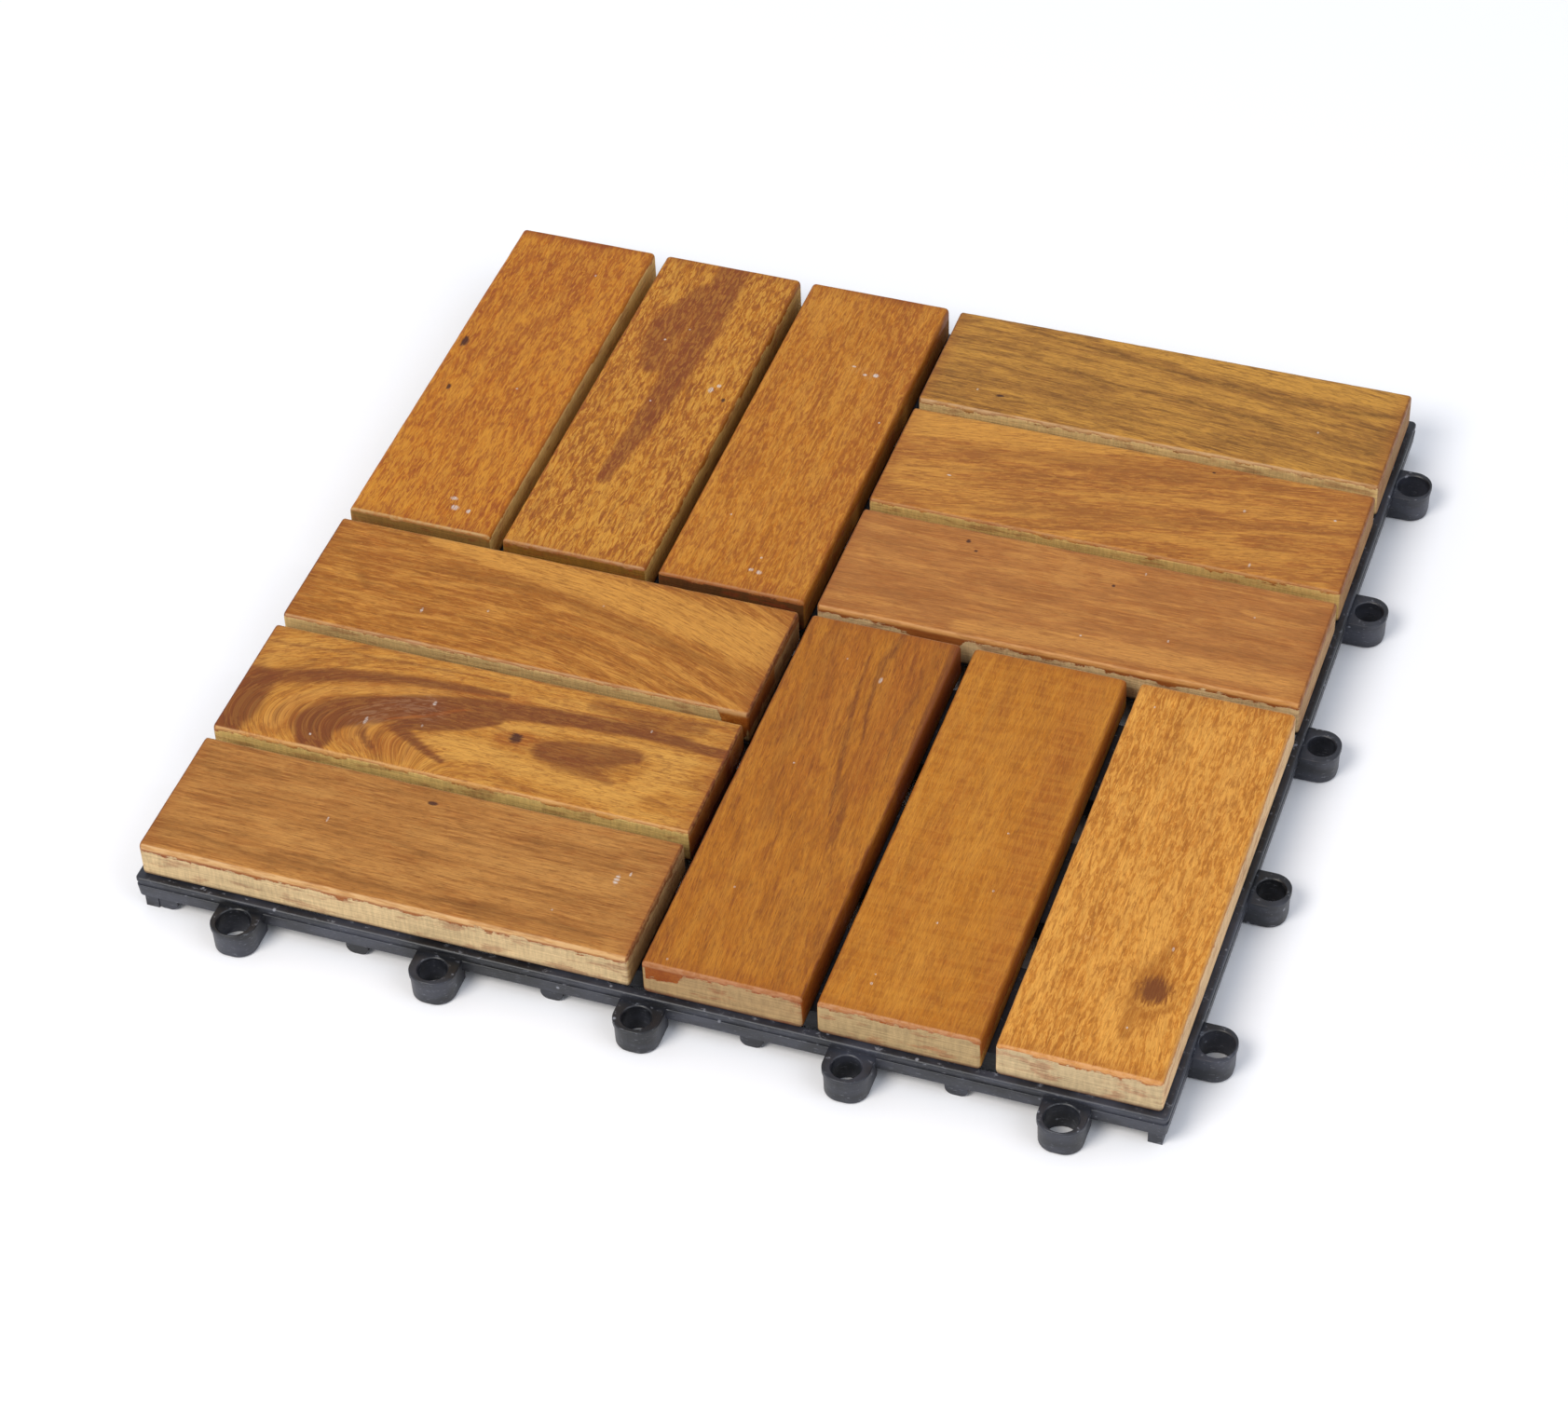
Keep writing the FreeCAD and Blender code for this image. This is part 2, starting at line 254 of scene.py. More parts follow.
def joinSide(tree, sign, inside, beyond, share):
    return calc(tree, "MULTIPLY", sign, calc(tree, "MULTIPLY_ADD", beyond, share, inside))


def makeSlatTree():
    tree, given = startTree(
        "rounded slat", ("length", "width", "thickness", *slatShape, "seed", "turn"), ("centre",))
    sizes = ("length", "width", "thickness")
    halves = [calc(tree, "MULTIPLY", given[name], 0.5) for name in sizes]
    cube = addNode(tree, "GeometryNodeMeshCube", {"Size": combine(tree, *[given[name] for name in sizes])})
    for axis, rows in zip("XYZ", slatMesh["rows"]):
        cube.inputs["Vertices " + axis].default_value = rows
    place = separate(tree, tree.nodes.new("GeometryNodeInputPosition").outputs[0])
    x, y, z = [crowded(tree, *values) for values in zip(place, halves, slatMesh["crowding"])]

    # small round all the way round both ends
    sides = [splitSide(tree, value, calc(tree, "SUBTRACT", half, given["endRound"]))
             for value, half in zip((x, y, z), halves)]
    share = roundShare(tree, sides[0][2], calc(tree, "MAXIMUM", sides[1][2], sides[2][2]))
    x, y, z = [joinSide(tree, *side, share) for side in sides]

    # larger rounds along the top and bottom edges
    onTop = calc(tree, "GREATER_THAN", z, 0.0)
    step = calc(tree, "SUBTRACT", given["topRound"], given["bottomRound"])
    longRound = calc(tree, "MULTIPLY_ADD", onTop, step, given["bottomRound"])
    across = splitSide(tree, y, calc(tree, "SUBTRACT", halves[1], longRound))
    upright = splitSide(tree, z, calc(tree, "SUBTRACT", halves[2], longRound))
    share = roundShare(tree, across[2], upright[2])
    rounded = addNode(tree, "GeometryNodeSetPosition", {
        "Geometry": cube.outputs["Mesh"],
        "Position": combine(tree, x, joinSide(tree, *across, share), joinSide(tree, *upright, share)),
    })

    # planed by hand-fed machine: faces not quite flat, top edges knocked about a little
    spot = tree.nodes.new("GeometryNodeInputPosition").outputs[0]
    spotY, height = separate(tree, spot)[1:]

    def unevenNoise(grain, detail):
        return addNode(tree, "ShaderNodeTexNoise", {
            "Vector": vectorCalc(tree, "MULTIPLY", spot, slatMesh[grain]),
            "W": given["seed"], "Scale": 1.0, "Detail": detail,
        }, noise_dimensions="4D").outputs[0]

    fromSide = calc(tree, "SUBTRACT", halves[1], calc(tree, "ABSOLUTE", spotY))
    fromTop = calc(tree, "SUBTRACT", halves[2], height)
    fromEdge = calc(tree, "ADD", calc(tree, "MAXIMUM", fromSide, 0.0), calc(tree, "MAXIMUM", fromTop, 0.0))
    nearEdge = smoothFall(tree, fromEdge, *slatMesh["wornReach"])
    aboveFoot = smoothRange(tree, calc(tree, "ADD", height, halves[2]), *slatMesh["footReach"])
    lift = centred(tree, unevenNoise("waveGrain", 2.0), given["unevenness"])
    chipped = calc(tree, "MAXIMUM", calc(tree, "SUBTRACT", unevenNoise("chipGrain", 3.0), 0.5), 0.0)
    wear = scaledBy(tree, chipped, nearEdge, given["edgeWear"])
    push = calc(tree, "MULTIPLY", calc(tree, "SUBTRACT", lift, wear), aboveFoot)
    normal = tree.nodes.new("GeometryNodeInputNormal").outputs[0]
    uneven = addNode(tree, "GeometryNodeSetPosition", {
        "Geometry": rounded.outputs[0],
        "Offset": vectorCalc(tree, "SCALE", normal, push),
    })

    # each point keeps its place on the slat in millimetres, for the finish
    fromFoot = vectorCalc(tree, "ADD", tree.nodes.new("GeometryNodeInputPosition").outputs[0],
                          combine(tree, 0.0, 0.0, halves[2]))
    kept = addNode(tree, "GeometryNodeStoreNamedAttribute", {
        "Geometry": uneven.outputs[0], "Name": "slatPlace",
        "Value": vectorCalc(tree, "SCALE", fromFoot, 1 / millimetre),
    }, data_type="FLOAT_VECTOR", domain="POINT")
    smooth = addNode(tree, "GeometryNodeSetShadeSmooth", {"Geometry": kept.outputs[0]})
    laid = addNode(tree, "GeometryNodeTransform", {
        "Geometry": smooth.outputs[0],
        "Translation": given["centre"],
        "Rotation": combine(tree, 0.0, 0.0, given["turn"]),
    })
    return endTree(tree, laid.outputs[0], given["finish"])


# Looks of the slats, each as in the photograph. Colours are as seen on screen.
# bands: kind, strength, softness, then points (u, v, half width) along the band; a sheen band is a painted
# reflection
# veins: kind, strength, then points (u, v, half width), thin lines drawn along the slat
# marks: kind, u, v, half length, half width
# sides: how far the stain comes down on v low, v high, u low and u high, in mm
# raw: bare wood of the long sides, then of the ends; arris: tone of the long edges, then of the ends, the pale
# ones rubbed wear with a painted highlight, the dark ones stain with painted shade
# slope, arch or dip: how the grain runs; fleck, streak, ripple and redness: strengths, 0 where left out
# drip: middle and reach along u of stain run down a side; patch: the same across an end, from and to
slatLooks = {
    "slat_front_left_1": {
        "ground": (178, 121, 68), "light": (200, 144, 82), "dark": (128, 84, 50),
        "fleck": 0.2, "streak": 1.0, "redness": 0.25,
        "bands": [
            ("dark", 0.3, 1.0, [(-72, -16, 4), (-40, -17, 4), (0, -18, 4), (60, -18, 4)]),
            ("gold", 0.5, 1.0, [(0, 4, 6), (30, 0, 8), (60, 2, 6)]),
            ("gold", 0.5, 1.0, [(-70, -9, 4), (-20, -9, 4), (40, -12, 4)]),
        ],
        "veins": [
            ("dark", 0.6, [(-72, -14.5, 0.8), (-60, -14.5, 0.8), (-50, -16, 0.9), (-38, -17.6, 1.0),
                (-25, -18.4, 0.7)]),
            ("dark", 0.7, [(-32, -14, 0.7), (-24, -13.4, 1.1), (-13, -14, 0.6)]),
            ("dark", 0.65, [(-36, -15.8, 0.9), (-20, -16.5, 1.3), (-6, -18, 1.0), (10, -18, 0.8),
                (25, -17, 1.1), (45, -17, 0.9), (64, -17.8, 0.6)]),
            ("dark", 0.5, [(-25, 0.2, 0.4), (-10, -0.4, 0.6), (2, -2, 0.9), (12, -3, 0.4)]),
            ("dark", 0.35, [(8, -3, 0.3), (30, -4.2, 0.4), (62, -5, 0.4)]),
            ("dark", 0.35, [(-55, 5.5, 0.4), (-42, 5.2, 0.5), (-30, 6, 0.4)]),
            ("gold", 0.5, [(-72, -3.8, 0.8), (-45, -3.4, 0.9), (-28, -4.6, 0.6)]),
            ("gold", 0.45, [(8, -8.5, 0.6), (35, -6.2, 0.9), (60, -6.5, 0.6)]),
        ],
        "marks": [("pin", 0, 16.5, 1.5, 0.8), ("white", 63, 7, 0.3, 0.9), ("white", 60, 4, 0.8, 1.8),
            ("white", -26, 2, 0.3, 1.0), ("white", 47, -12, 0.3, 0.3)],
        "sides": (2.4, 1.6, 2.0, 1.6), "raw": ((214, 186, 142), (176, 144, 100)),
        "arris": ((219, 176, 124), (128, 76, 44)),
    },
    "slat_front_left_2": {
        "ground": (194, 132, 64), "light": (220, 162, 84), "dark": (122, 72, 43),
        "fleck": 0.4, "streak": 0.22, "redness": 0.35, "arch": (-6, -12, 0.44),
        "bands": [
            ("dark", 0.9, 0.5, [(-76, -24, 13), (-73, -12, 12), (-69, -2, 8)]),
            ("dark", 0.8, 0.8, [(-68, 0, 5), (-58, 3.5, 4), (-48, 7, 3.8), (-36, 9.8, 3.2), (-23, 11.8, 2.6),
                (-8, 13, 2.2), (4, 13.4, 1.4)]),
            ("dark", 1.0, 0.55, [(-43, -19, 6), (-45, -13, 7.5), (-40, -7, 7.5), (-30, -2.5, 7),
                (-20, 1.5, 6), (-10, 4.8, 5), (2, 7.2, 4.4), (14, 8.8, 4), (30, 10.2, 3.4), (47, 10.8, 3),
                (60, 10, 2.4), (76, 9, 2)]),
            ("dark", 0.95, 0.5, [(-21, -6.6, 2.4), (-14, -3.6, 4), (-5, 0, 4.8), (4, 4.4, 4)]),
            ("dark", 0.75, 0.8, [(-32, -7, 1.8), (-31, -13, 2), (-26, -17.5, 1.6)]),
            ("dark", 0.9, 0.7, [(-22, -8, 2.6), (-16, -11, 2.4), (-10, -14.5, 1.8), (-4, -17.3, 1.2)]),
            ("dark", 0.75, 0.6, [(23, -4.5, 5.5), (32, -3.4, 7), (40, -1.4, 6), (48, 0.8, 3.6)]),
            ("dark", 0.55, 0.8, [(28, -8, 4.5), (38, -9, 3.6), (45, -11, 2)]),
            ("dark", 0.55, 1.0, [(30, 17.5, 4), (46, 16, 5), (62, 17, 5)]),
            ("red", 0.9, 0.8, [(9, -3, 4), (16, -1.6, 4)]),
            ("red", 0.6, 1.0, [(-56, -18, 8), (-54, -6, 5), (-40, 4, 4), (-20, 9, 3), (10, 13.6, 3)]),
            ("red", 0.6, 0.9, [(-36, -15, 6), (-26, -15, 7), (-14, -17, 5)]),
            ("gold", 0.8, 0.7, [(-57, -16, 4), (-55, -6, 3), (-45, 1.5, 2.2), (-30, 6.3, 1.8),
                (-12, 10, 1.3)]),
            ("gold", 0.7, 0.9, [(-8, -10, 6), (12, -12, 6), (50, -16, 5), (60, -2, 8)]),
            ("gold", 0.7, 0.9, [(8, 1, 3), (20, 4.5, 1.6), (45, 6, 1.8), (64, 4, 4)]),
            # painted reflection, a pale sheen
            ("sheen", 0.6, 1.0, [(-34, -8, 4), (-26, -1, 6), (-16, 5, 4), (-14, 0, 5)]),
        ],
        "veins": [
            ("dark", 0.6, [(-70, 15.4, 0.7), (-50, 16.8, 0.8), (-30, 18, 0.8), (-6, 19, 0.6)]),
            ("red", 0.8, [(-26, -5.6, 0.5), (-18, -2.2, 0.8), (-10, 2.2, 0.9), (-5, 5.2, 0.5)]),
            ("dark", 0.4, [(20, 12.9, 0.5), (40, 13.8, 0.6), (58, 13.4, 0.5)]),
            ("red", 0.7, [(-6, 11.4, 0.4), (14, 13, 0.5), (40, 14, 0.5)]),
        ],
        "marks": [("pin", 12.6, -2, 2.0, 1.9), ("ring", 54, 0, 5.2, 3.6), ("ring", 57, 19.4, 2.4, 1.9),
            ("white", -15, 4.6, 0.5, 0.9), ("white", -31.4, -8, 0.5, 1.4), ("white", -15, -5.2, 0.4, 0.5),
            ("white", 49, 12, 0.3, 0.4), ("white", -44.6, -17.8, 0.4, 0.5)],
        "sides": (0.9, 1.4, 2.0, 9.0), "raw": ((216, 184, 116), (96, 58, 38)),
        "arris": ((214, 164, 106), (118, 66, 36)),
    },
    "slat_front_left_3": {
        "ground": (171, 108, 54), "light": (216, 154, 78), "dark": (142, 92, 50),
        "fleck": 0.35, "streak": 0.8, "redness": 0.3, "dip": (-20, 24),
        "bands": [
            ("gold", 0.95, 0.8, [(-42, 21, 3), (-10, 17.5, 6), (20, 14.5, 8), (50, 9, 11), (74, 4, 12)]),
            ("dark", 0.45, 1.0, [(-40, 10, 3), (5, 8, 4.5), (25, 2, 4.5), (50, -5, 3.5), (72, -10, 3)]),
            ("dark", 0.55, 0.8, [(-57, -0.5, 2.6), (-54, -4, 2.2)]),
            ("gold", 0.35, 1.0, [(-64, 2, 5), (-62, -2, 4)]),
            ("red", 0.5, 1.0, [(-60, 14, 8), (-52, 8, 8)]),
            ("gold", 0.3, 1.0, [(20, -16, 6), (50, -17, 6)]),
        ],
        "veins": [("dark", 0.4, [(18, 5, 1.2), (28, 2.6, 1.5), (40, -1, 1.2), (54, -5, 0.8)])],
        "marks": [("white", -34, -9.5, 0.4, 1.0), ("white", -15, -4, 0.3, 0.4), ("white", 17, 8, 0.3, 0.3)],
        "sides": (0.7, 1.6, 2.0, 3.0), "raw": ((206, 174, 120), (160, 126, 86)),
        "arris": ((196, 152, 106), (118, 68, 36)), "drip": (69, 4),
    },
    "slat_front_right_1": {
        "ground": (178, 112, 50), "light": (196, 132, 60), "dark": (124, 75, 38),
        "fleck": 0.3, "streak": 0.8, "redness": 0.3, "slope": 0.07,
        "bands": [
            ("dark", 0.35, 1.0, [(-15, 8, 3), (10, 12, 4), (37, 13.6, 4.5), (73, 14, 4.5)]),
            ("red", 0.6, 1.0, [(5, -12, 5), (30, -12, 8), (72, -12, 9)]),
            ("red", 0.5, 1.0, [(0, 3, 5), (35, 6, 7), (72, 6, 8)]),
            ("dark", 0.35, 1.0, [(28, -18, 2), (45, -17, 3), (72, -18, 4)]),
            ("dark", 0.8, 0.7, [(12, -23, 1.6), (40, -22.6, 2), (74, -22.2, 2.4)]),
            ("gold", 0.5, 1.0, [(-64, -6, 8), (-40, -12, 8), (-10, -16, 5)]),
        ],
        "veins": [
            ("dark", 1.0, [(-4, -8, 0.5), (5, -6.3, 0.8), (20, -4, 0.9), (37, -1.2, 0.9), (52, 0.4, 0.7),
                (60, 1, 0.4)]),
            ("dark", 1.0, [(26, -7.8, 0.5), (40, -5, 0.9), (50, -4.2, 1.0), (60, -3.9, 1.4), (74, -6, 1.5)]),
            ("dark", 0.8, [(-17, -12, 0.9), (-9, -11, 1.6), (-3, -10.6, 0.8)]),
            ("dark", 0.7, [(20, -17, 0.5), (35, -15.2, 0.7), (50, -17, 0.6)]),
            ("dark", 0.3, [(-5, -12, 0.3), (10, -11, 0.4), (30, -8.6, 0.4)]),
            ("gold", 0.4, [(0, -5.5, 0.6), (20, -2.6, 0.6), (50, 2, 0.6)]),
        ],
        "marks": [("white", 51.5, -5, 1.4, 0.5), ("white", 57.5, 7, 0.3, 0.3), ("white", 12, 8, 0.3, 0.3),
            ("white", -39, 8, 0.4, 0.3), ("white", -70, 16.5, 0.4, 0.3)],
        "sides": (8.5, 3.0, 1.7, 1.0), "raw": ((124, 86, 50), (177, 147, 107)),
        "arris": ((132, 76, 34), (184, 130, 92)), "patch": (12, 22),
    },
    "slat_front_right_2": {
        "ground": (188, 120, 52), "light": (206, 141, 64), "dark": (150, 93, 44),
        "fleck": 0.35, "streak": 0.55, "ripple": 0.5, "redness": 0.3,
        "bands": [
            ("red", 0.65, 1.0, [(-60, -20, 5), (0, -16, 8), (40, -14, 9), (73, -13, 9)]),
            ("red", 0.5, 1.0, [(-45, 11, 4), (0, 10.5, 3.5), (30, 10, 3)]),
            ("dark", 0.35, 1.0, [(36, 10.5, 2.5), (73, 9.5, 3.5)]),
            ("dark", 0.3, 1.0, [(10, -17, 4), (40, -17, 4)]),
            ("gold", 0.5, 1.0, [(-66, 3, 8), (-20, 3, 5), (40, 3, 4)]),
        ],
        "veins": [
            ("dark", 0.4, [(-54, -1.8, 0.4), (-46, -1, 0.4)]),
            ("dark", 0.4, [(36, 10.6, 0.4), (46, 10.4, 0.4), (60, 8, 0.3)]),
        ],
        "marks": [("white", -62, 11, 0.5, 0.4), ("white", -58.5, 11, 0.3, 0.3),
            ("white", -35.5, 0.8, 0.4, 0.3), ("white", -19.5, -10.4, 0.4, 0.3), ("white", 3, -8, 0.3, 0.3)],
        "sides": (6.5, 2.0, 1.3, 1.0), "raw": ((160, 118, 66), (184, 157, 116)),
        "arris": ((164, 98, 46), (192, 140, 100)),
    },
    "slat_front_right_3": {
        "ground": (208, 138, 64), "light": (234, 170, 86), "dark": (164, 102, 46),
        "fleck": 0.8, "streak": 0.55, "ripple": 0.2, "redness": 0.2,
        "bands": [
            ("dark", 0.7, 1.0, [(-60, -8.5, 2.5), (-50, -8.5, 5), (-38, -9, 5), (-30, -11.5, 3),
                (-24, -12, 1.5)]),
            ("dark", 0.6, 1.0, [(-51, -12, 3.4), (-47, -17.5, 2.4)]),
            ("dark", 0.35, 1.0, [(34, 7, 4), (55, 6.5, 5), (73, 6.5, 5)]),
            ("red", 0.4, 1.0, [(10, -5, 8), (40, -12, 8), (70, -14, 8)]),
            # painted reflection, a pale sheen
            ("sheen", 0.5, 1.0, [(-29, 11, 1.5), (-29, 8, 1.5)]),
        ],
        "veins": [("dark", 0.35, [(-66, 14.7, 0.6), (-50, 14.5, 0.7), (-40, 14.6, 0.5)])],
        "marks": [("knot", -42, -12, 5.2, 4.4), ("white", -57, -8.6, 0.4, 0.3),
            ("white", -26, -13, 0.7, 0.3), ("white", 64, 16.5, 0.4, 0.3)],
        "sides": (1.2, 1.2, 1.4, 1.0), "raw": ((210, 176, 134), (206, 181, 141)),
        "arris": ((216, 154, 84), (217, 160, 108)),
    },
    "slat_back_right_1": {
        "ground": (178, 118, 69), "light": (208, 147, 82), "dark": (152, 99, 60),
        "fleck": 0.15, "streak": 0.6, "redness": 0.25, "slope": 0.02,
        "bands": [
            ("gold", 0.8, 0.9, [(-30, -19, 4), (0, -16.5, 5), (30, -16, 5), (72, -16, 5)]),
            ("dark", 0.3, 1.0, [(-30, -5, 3), (20, -7, 4), (66, -8, 4)]),
            ("gold", 0.35, 1.0, [(-68, 6, 7), (-40, -2, 5)]),
        ],
        "veins": [
            ("gold", 0.5, [(-14, 1.2, 0.4), (20, 2.2, 0.5), (66, 1.3, 0.4)]),
            ("gold", 0.4, [(-34, -12.8, 0.7), (0, -14.4, 1.0), (40, -11.6, 0.7)]),
            ("gold", 0.4, [(-54, 9.4, 0.4), (-44, 9.9, 0.5)]),
        ],
        "marks": [("pin", -38.4, 17.2, 0.8, 0.8), ("pin", -35, 13.6, 0.6, 0.5), ("pin", 8.4, 10.6, 0.6, 0.6),
            ("white", 16.2, 18.2, 0.3, 0.5), ("white", 30, -8, 0.3, 0.5), ("white", 51.5, 9.2, 0.3, 0.3),
            ("white", 5, -13, 0.3, 0.3)],
        "sides": (2.4, 1.4, 1.2, 1.8), "raw": ((222, 190, 142), (170, 137, 102)),
        "arris": ((213, 156, 98), (140, 88, 56)), "drip": (-36, 8),
    },
    "slat_back_right_2": {
        "ground": (175, 113, 62), "light": (214, 153, 77), "dark": (146, 94, 56),
        "fleck": 0.45, "streak": 0.8, "redness": 0.25, "slope": 0.17,
        "bands": [
            ("gold", 1.0, 0.6, [(-73, 16, 8), (-50, 17, 6.5), (-20, 20, 4.5), (8, 23, 2)]),
            ("gold", 0.5, 1.0, [(-72, -8, 8), (-50, -12, 8), (-20, -14, 4)]),
            ("dark", 0.45, 1.0, [(-56, 7, 3), (-20, 12, 5), (10, 15, 6), (44, 17, 5)]),
            ("dark", 0.4, 1.0, [(-40, -17, 3), (-20, -13, 4), (5, -9, 5), (30, -4, 3.5), (50, 0, 3),
                (73, 3.4, 2.2)]),
            ("gold", 0.5, 1.0, [(10, 4, 2), (40, 6, 4), (72, 8, 5)]),
        ],
        "veins": [
            ("dark", 0.65, [(-66, -4.6, 0.5), (-52, -1.5, 0.7), (-40, 0.5, 0.7), (-27, 0.9, 0.5)]),
            ("dark", 0.6, [(-30, 2.2, 0.5), (-12, 4, 0.7), (5, 5.5, 0.7), (22, 8.3, 0.7), (34, 10.6, 0.8),
                (46, 12.8, 0.6)]),
            ("dark", 0.5, [(-30, -4.4, 0.5), (-21, -3.6, 0.7)]),
            ("dark", 0.4, [(-54, 3.4, 0.4), (-40, 6.4, 0.5)]),
            ("dark", 0.35, [(24, -3.4, 0.5), (40, -1, 0.6), (60, 2.4, 0.4)]),
        ],
        "marks": [("white", 44.4, -18.8, 0.4, 0.8), ("pin", 23.8, 19, 0.5, 0.4), ("white", 64, 8, 0.5, 0.4),
            ("white", 37, 4.4, 0.4, 0.6), ("white", -53, -5.4, 0.7, 0.3)],
        "sides": (0.9, 1.4, 1.2, 1.5), "raw": ((208, 172, 108), (154, 120, 86)),
        "arris": ((186, 134, 84), (136, 82, 48)),
    },
    "slat_back_right_3": {
        "ground": (168, 118, 64), "light": (210, 154, 76), "dark": (112, 78, 46),
        "fleck": 0.35, "streak": 0.9, "redness": 0.05, "dip": (-70, 9),
        "bands": [
            ("gold", 0.95, 0.7, [(-24, 21.5, 2.4), (10, 18.5, 5), (40, 17, 6), (73, 18.5, 5.5)]),
            ("gold", 0.45, 1.0, [(-20, 9, 4), (20, 4, 4), (50, 2, 6)]),
            ("dark", 0.25, 1.0, [(42, -18, 2.6), (64, -15.6, 3)]),
            ("dark", 0.2, 1.0, [(-70, -6, 6), (-45, -7, 5), (-10, -8, 3)]),
        ],
        "veins": [
            ("dark", 0.85, [(-50, 19.4, 0.6), (-35, 17.3, 0.8), (-18, 15.2, 1.0), (0, 12.6, 1.0),
                (18, 10.4, 1.0), (35, 9.2, 0.9), (50, 8.8, 0.9), (62, 9.4, 1.2), (74, 11, 1.8)]),
            ("dark", 0.6, [(-66, 6.5, 0.4), (-45, 5.5, 0.7), (-28, 3.6, 0.9), (-12, 0.5, 0.6)]),
            ("dark", 0.75, [(-6, 0.6, 0.6), (8, -0.6, 0.8), (22, -2, 1.2), (32, -3.8, 1.7), (42, -5.5, 0.9)]),
            ("dark", 0.5, [(-60, 1, 0.4), (-48, -1.4, 0.6), (-40, -2, 0.4)]),
            ("dark", 0.55, [(-47, -16, 0.5), (-30, -14.8, 0.7), (-10, -13.6, 0.7), (12, -14.2, 0.8),
                (27, -12.6, 0.5)]),
            ("dark", 0.5, [(-2, -6.5, 0.5), (14, -8.6, 0.7), (26, -7.2, 0.5)]),
            ("dark", 0.45, [(-23, -7.6, 0.8), (-8, -7.8, 0.8)]),
            ("dark", 0.4, [(-72, 9.5, 0.4), (-56, 9, 0.5), (-40, 8.4, 0.4)]),
        ],
        "marks": [("pin", -49, -14.6, 1.3, 0.7), ("white", -56.6, -13.6, 0.3, 0.4),
            ("white", 49.5, -3.4, 0.3, 0.5)],
        "sides": (1.2, 1.6, 1.4, 1.8), "raw": ((224, 190, 132), (150, 118, 86)),
        "arris": ((204, 164, 120), (138, 88, 58)),
    },
    "slat_back_left_1": {
        "ground": (192, 118, 45), "light": (214, 148, 64), "dark": (146, 76, 30),
        "fleck": 0.8, "streak": 0.6, "ripple": 0.2, "redness": 0.5,
        "bands": [
            ("red", 0.85, 1.0, [(4, 6, 5), (18, 3, 7), (36, -4, 4.5), (73, -6, 4.5)]),
            ("dark", 0.7, 0.9, [(76, 20, 9), (75, 8, 6), (73, -6, 5)]),
            ("red", 0.5, 1.0, [(-60, -4, 8), (-30, 2, 5)]),
            ("red", 0.6, 1.0, [(30, 10, 4), (60, 6, 3)]),
        ],
        "veins": [("dark", 0.35, [(-36, 13, 0.4), (-10, 13.6, 0.5), (20, 12.6, 0.4)])],
        "marks": [("white", -63.5, -8, 1.1, 1.2), ("white", -59.6, -6.2, 0.8, 1.2),
            ("white", -64, -12.6, 0.9, 0.6), ("pin", -10, 15.8, 1.4, 0.6), ("pin", 12.5, 19.4, 2.6, 1.1),
            ("white", -5, -5.2, 0.3, 0.4), ("white", 56, -8.6, 0.5, 0.3)],
        "sides": (0.5, 1.4, 0.8, 1.6), "raw": ((200, 164, 104), (150, 114, 68)),
        "arris": ((180, 112, 40), (196, 158, 108)),
    },
    "slat_back_left_2": {
        "ground": (188, 120, 52), "light": (218, 158, 74), "dark": (134, 76, 38),
        "fleck": 0.9, "streak": 0.5, "ripple": 0.1, "redness": 0.5,
        "bands": [
            ("dark", 0.95, 0.7, [(-38, 4, 2.6), (-25, 2.6, 4), (-10, 0.6, 5), (10, -0.4, 5.6), (30, -1, 6.2),
                (50, -1.2, 6.6), (76, -1, 7)]),
            ("dark", 0.85, 0.8, [(18, 8, 5), (28, 10, 7), (40, 10, 8), (48, 7, 7), (58, 4, 6)]),
            ("red", 0.7, 1.0, [(14, 15, 6), (32, 19, 6), (44, 14, 6)]),
            ("dark", 0.45, 1.0, [(72, 20, 4), (76, 8, 4)]),
            ("red", 0.5, 1.0, [(-30, -9, 5), (0, -11, 5)]),
            ("dark", 0.3, 1.0, [(-60, 18, 3), (-40, 19, 2.6)]),
        ],
        "veins": [],
        "marks": [("white", 12, -13.6, 1.4, 0.8), ("white", 14.6, -15.6, 0.9, 0.7),
            ("white", 31.6, 8.6, 0.4, 0.4), ("white", 38.6, 2.8, 0.3, 0.3), ("pin", 8.4, -19.2, 0.9, 0.7),
            ("white", 1.6, 2.6, 0.3, 0.3)],
        "sides": (1.6, 1.4, 1.0, 1.4), "raw": ((188, 150, 88), (148, 106, 56)),
        "arris": ((158, 97, 36), (188, 142, 102)),
    },
    "slat_back_left_3": {
        "ground": (188, 118, 50), "light": (212, 148, 68), "dark": (146, 84, 38),
        "fleck": 0.7, "streak": 0.7, "ripple": 0.15, "redness": 0.4,
        "bands": [
            ("red", 0.55, 1.0, [(-60, -18, 8), (0, -17, 9), (50, -17, 8)]),
            ("red", 0.6, 1.0, [(36, -12, 6), (74, -12, 8)]),
            ("dark", 0.6, 1.0, [(76, 10, 6), (74, -10, 7)]),
            ("red", 0.5, 1.0, [(74, 8, 5), (72, 4, 4)]),
            # painted reflection, a pale sheen
            ("sheen", 0.35, 1.0, [(33, -10, 3), (35, -4, 2.4)]),
        ],
        "veins": [
            ("dark", 0.4, [(-16, 10.4, 0.5), (0, 10.2, 0.5), (16, 10.6, 0.4)]),
            ("dark", 0.35, [(0, 5.6, 0.6), (14, 6.4, 0.7), (26, 6, 0.4)]),
        ],
        "marks": [("white", -64, -3.4, 0.7, 0.7), ("white", -64.4, -6, 0.9, 0.8),
            ("white", -58, -4.6, 0.5, 0.4), ("white", 33, -7.6, 0.5, 0.7), ("white", 33.6, -11, 0.8, 0.9),
            ("white", 36, -3, 0.4, 0.6), ("white", -42, 10.6, 0.4, 0.3), ("white", 12, -19, 0.4, 0.3)],
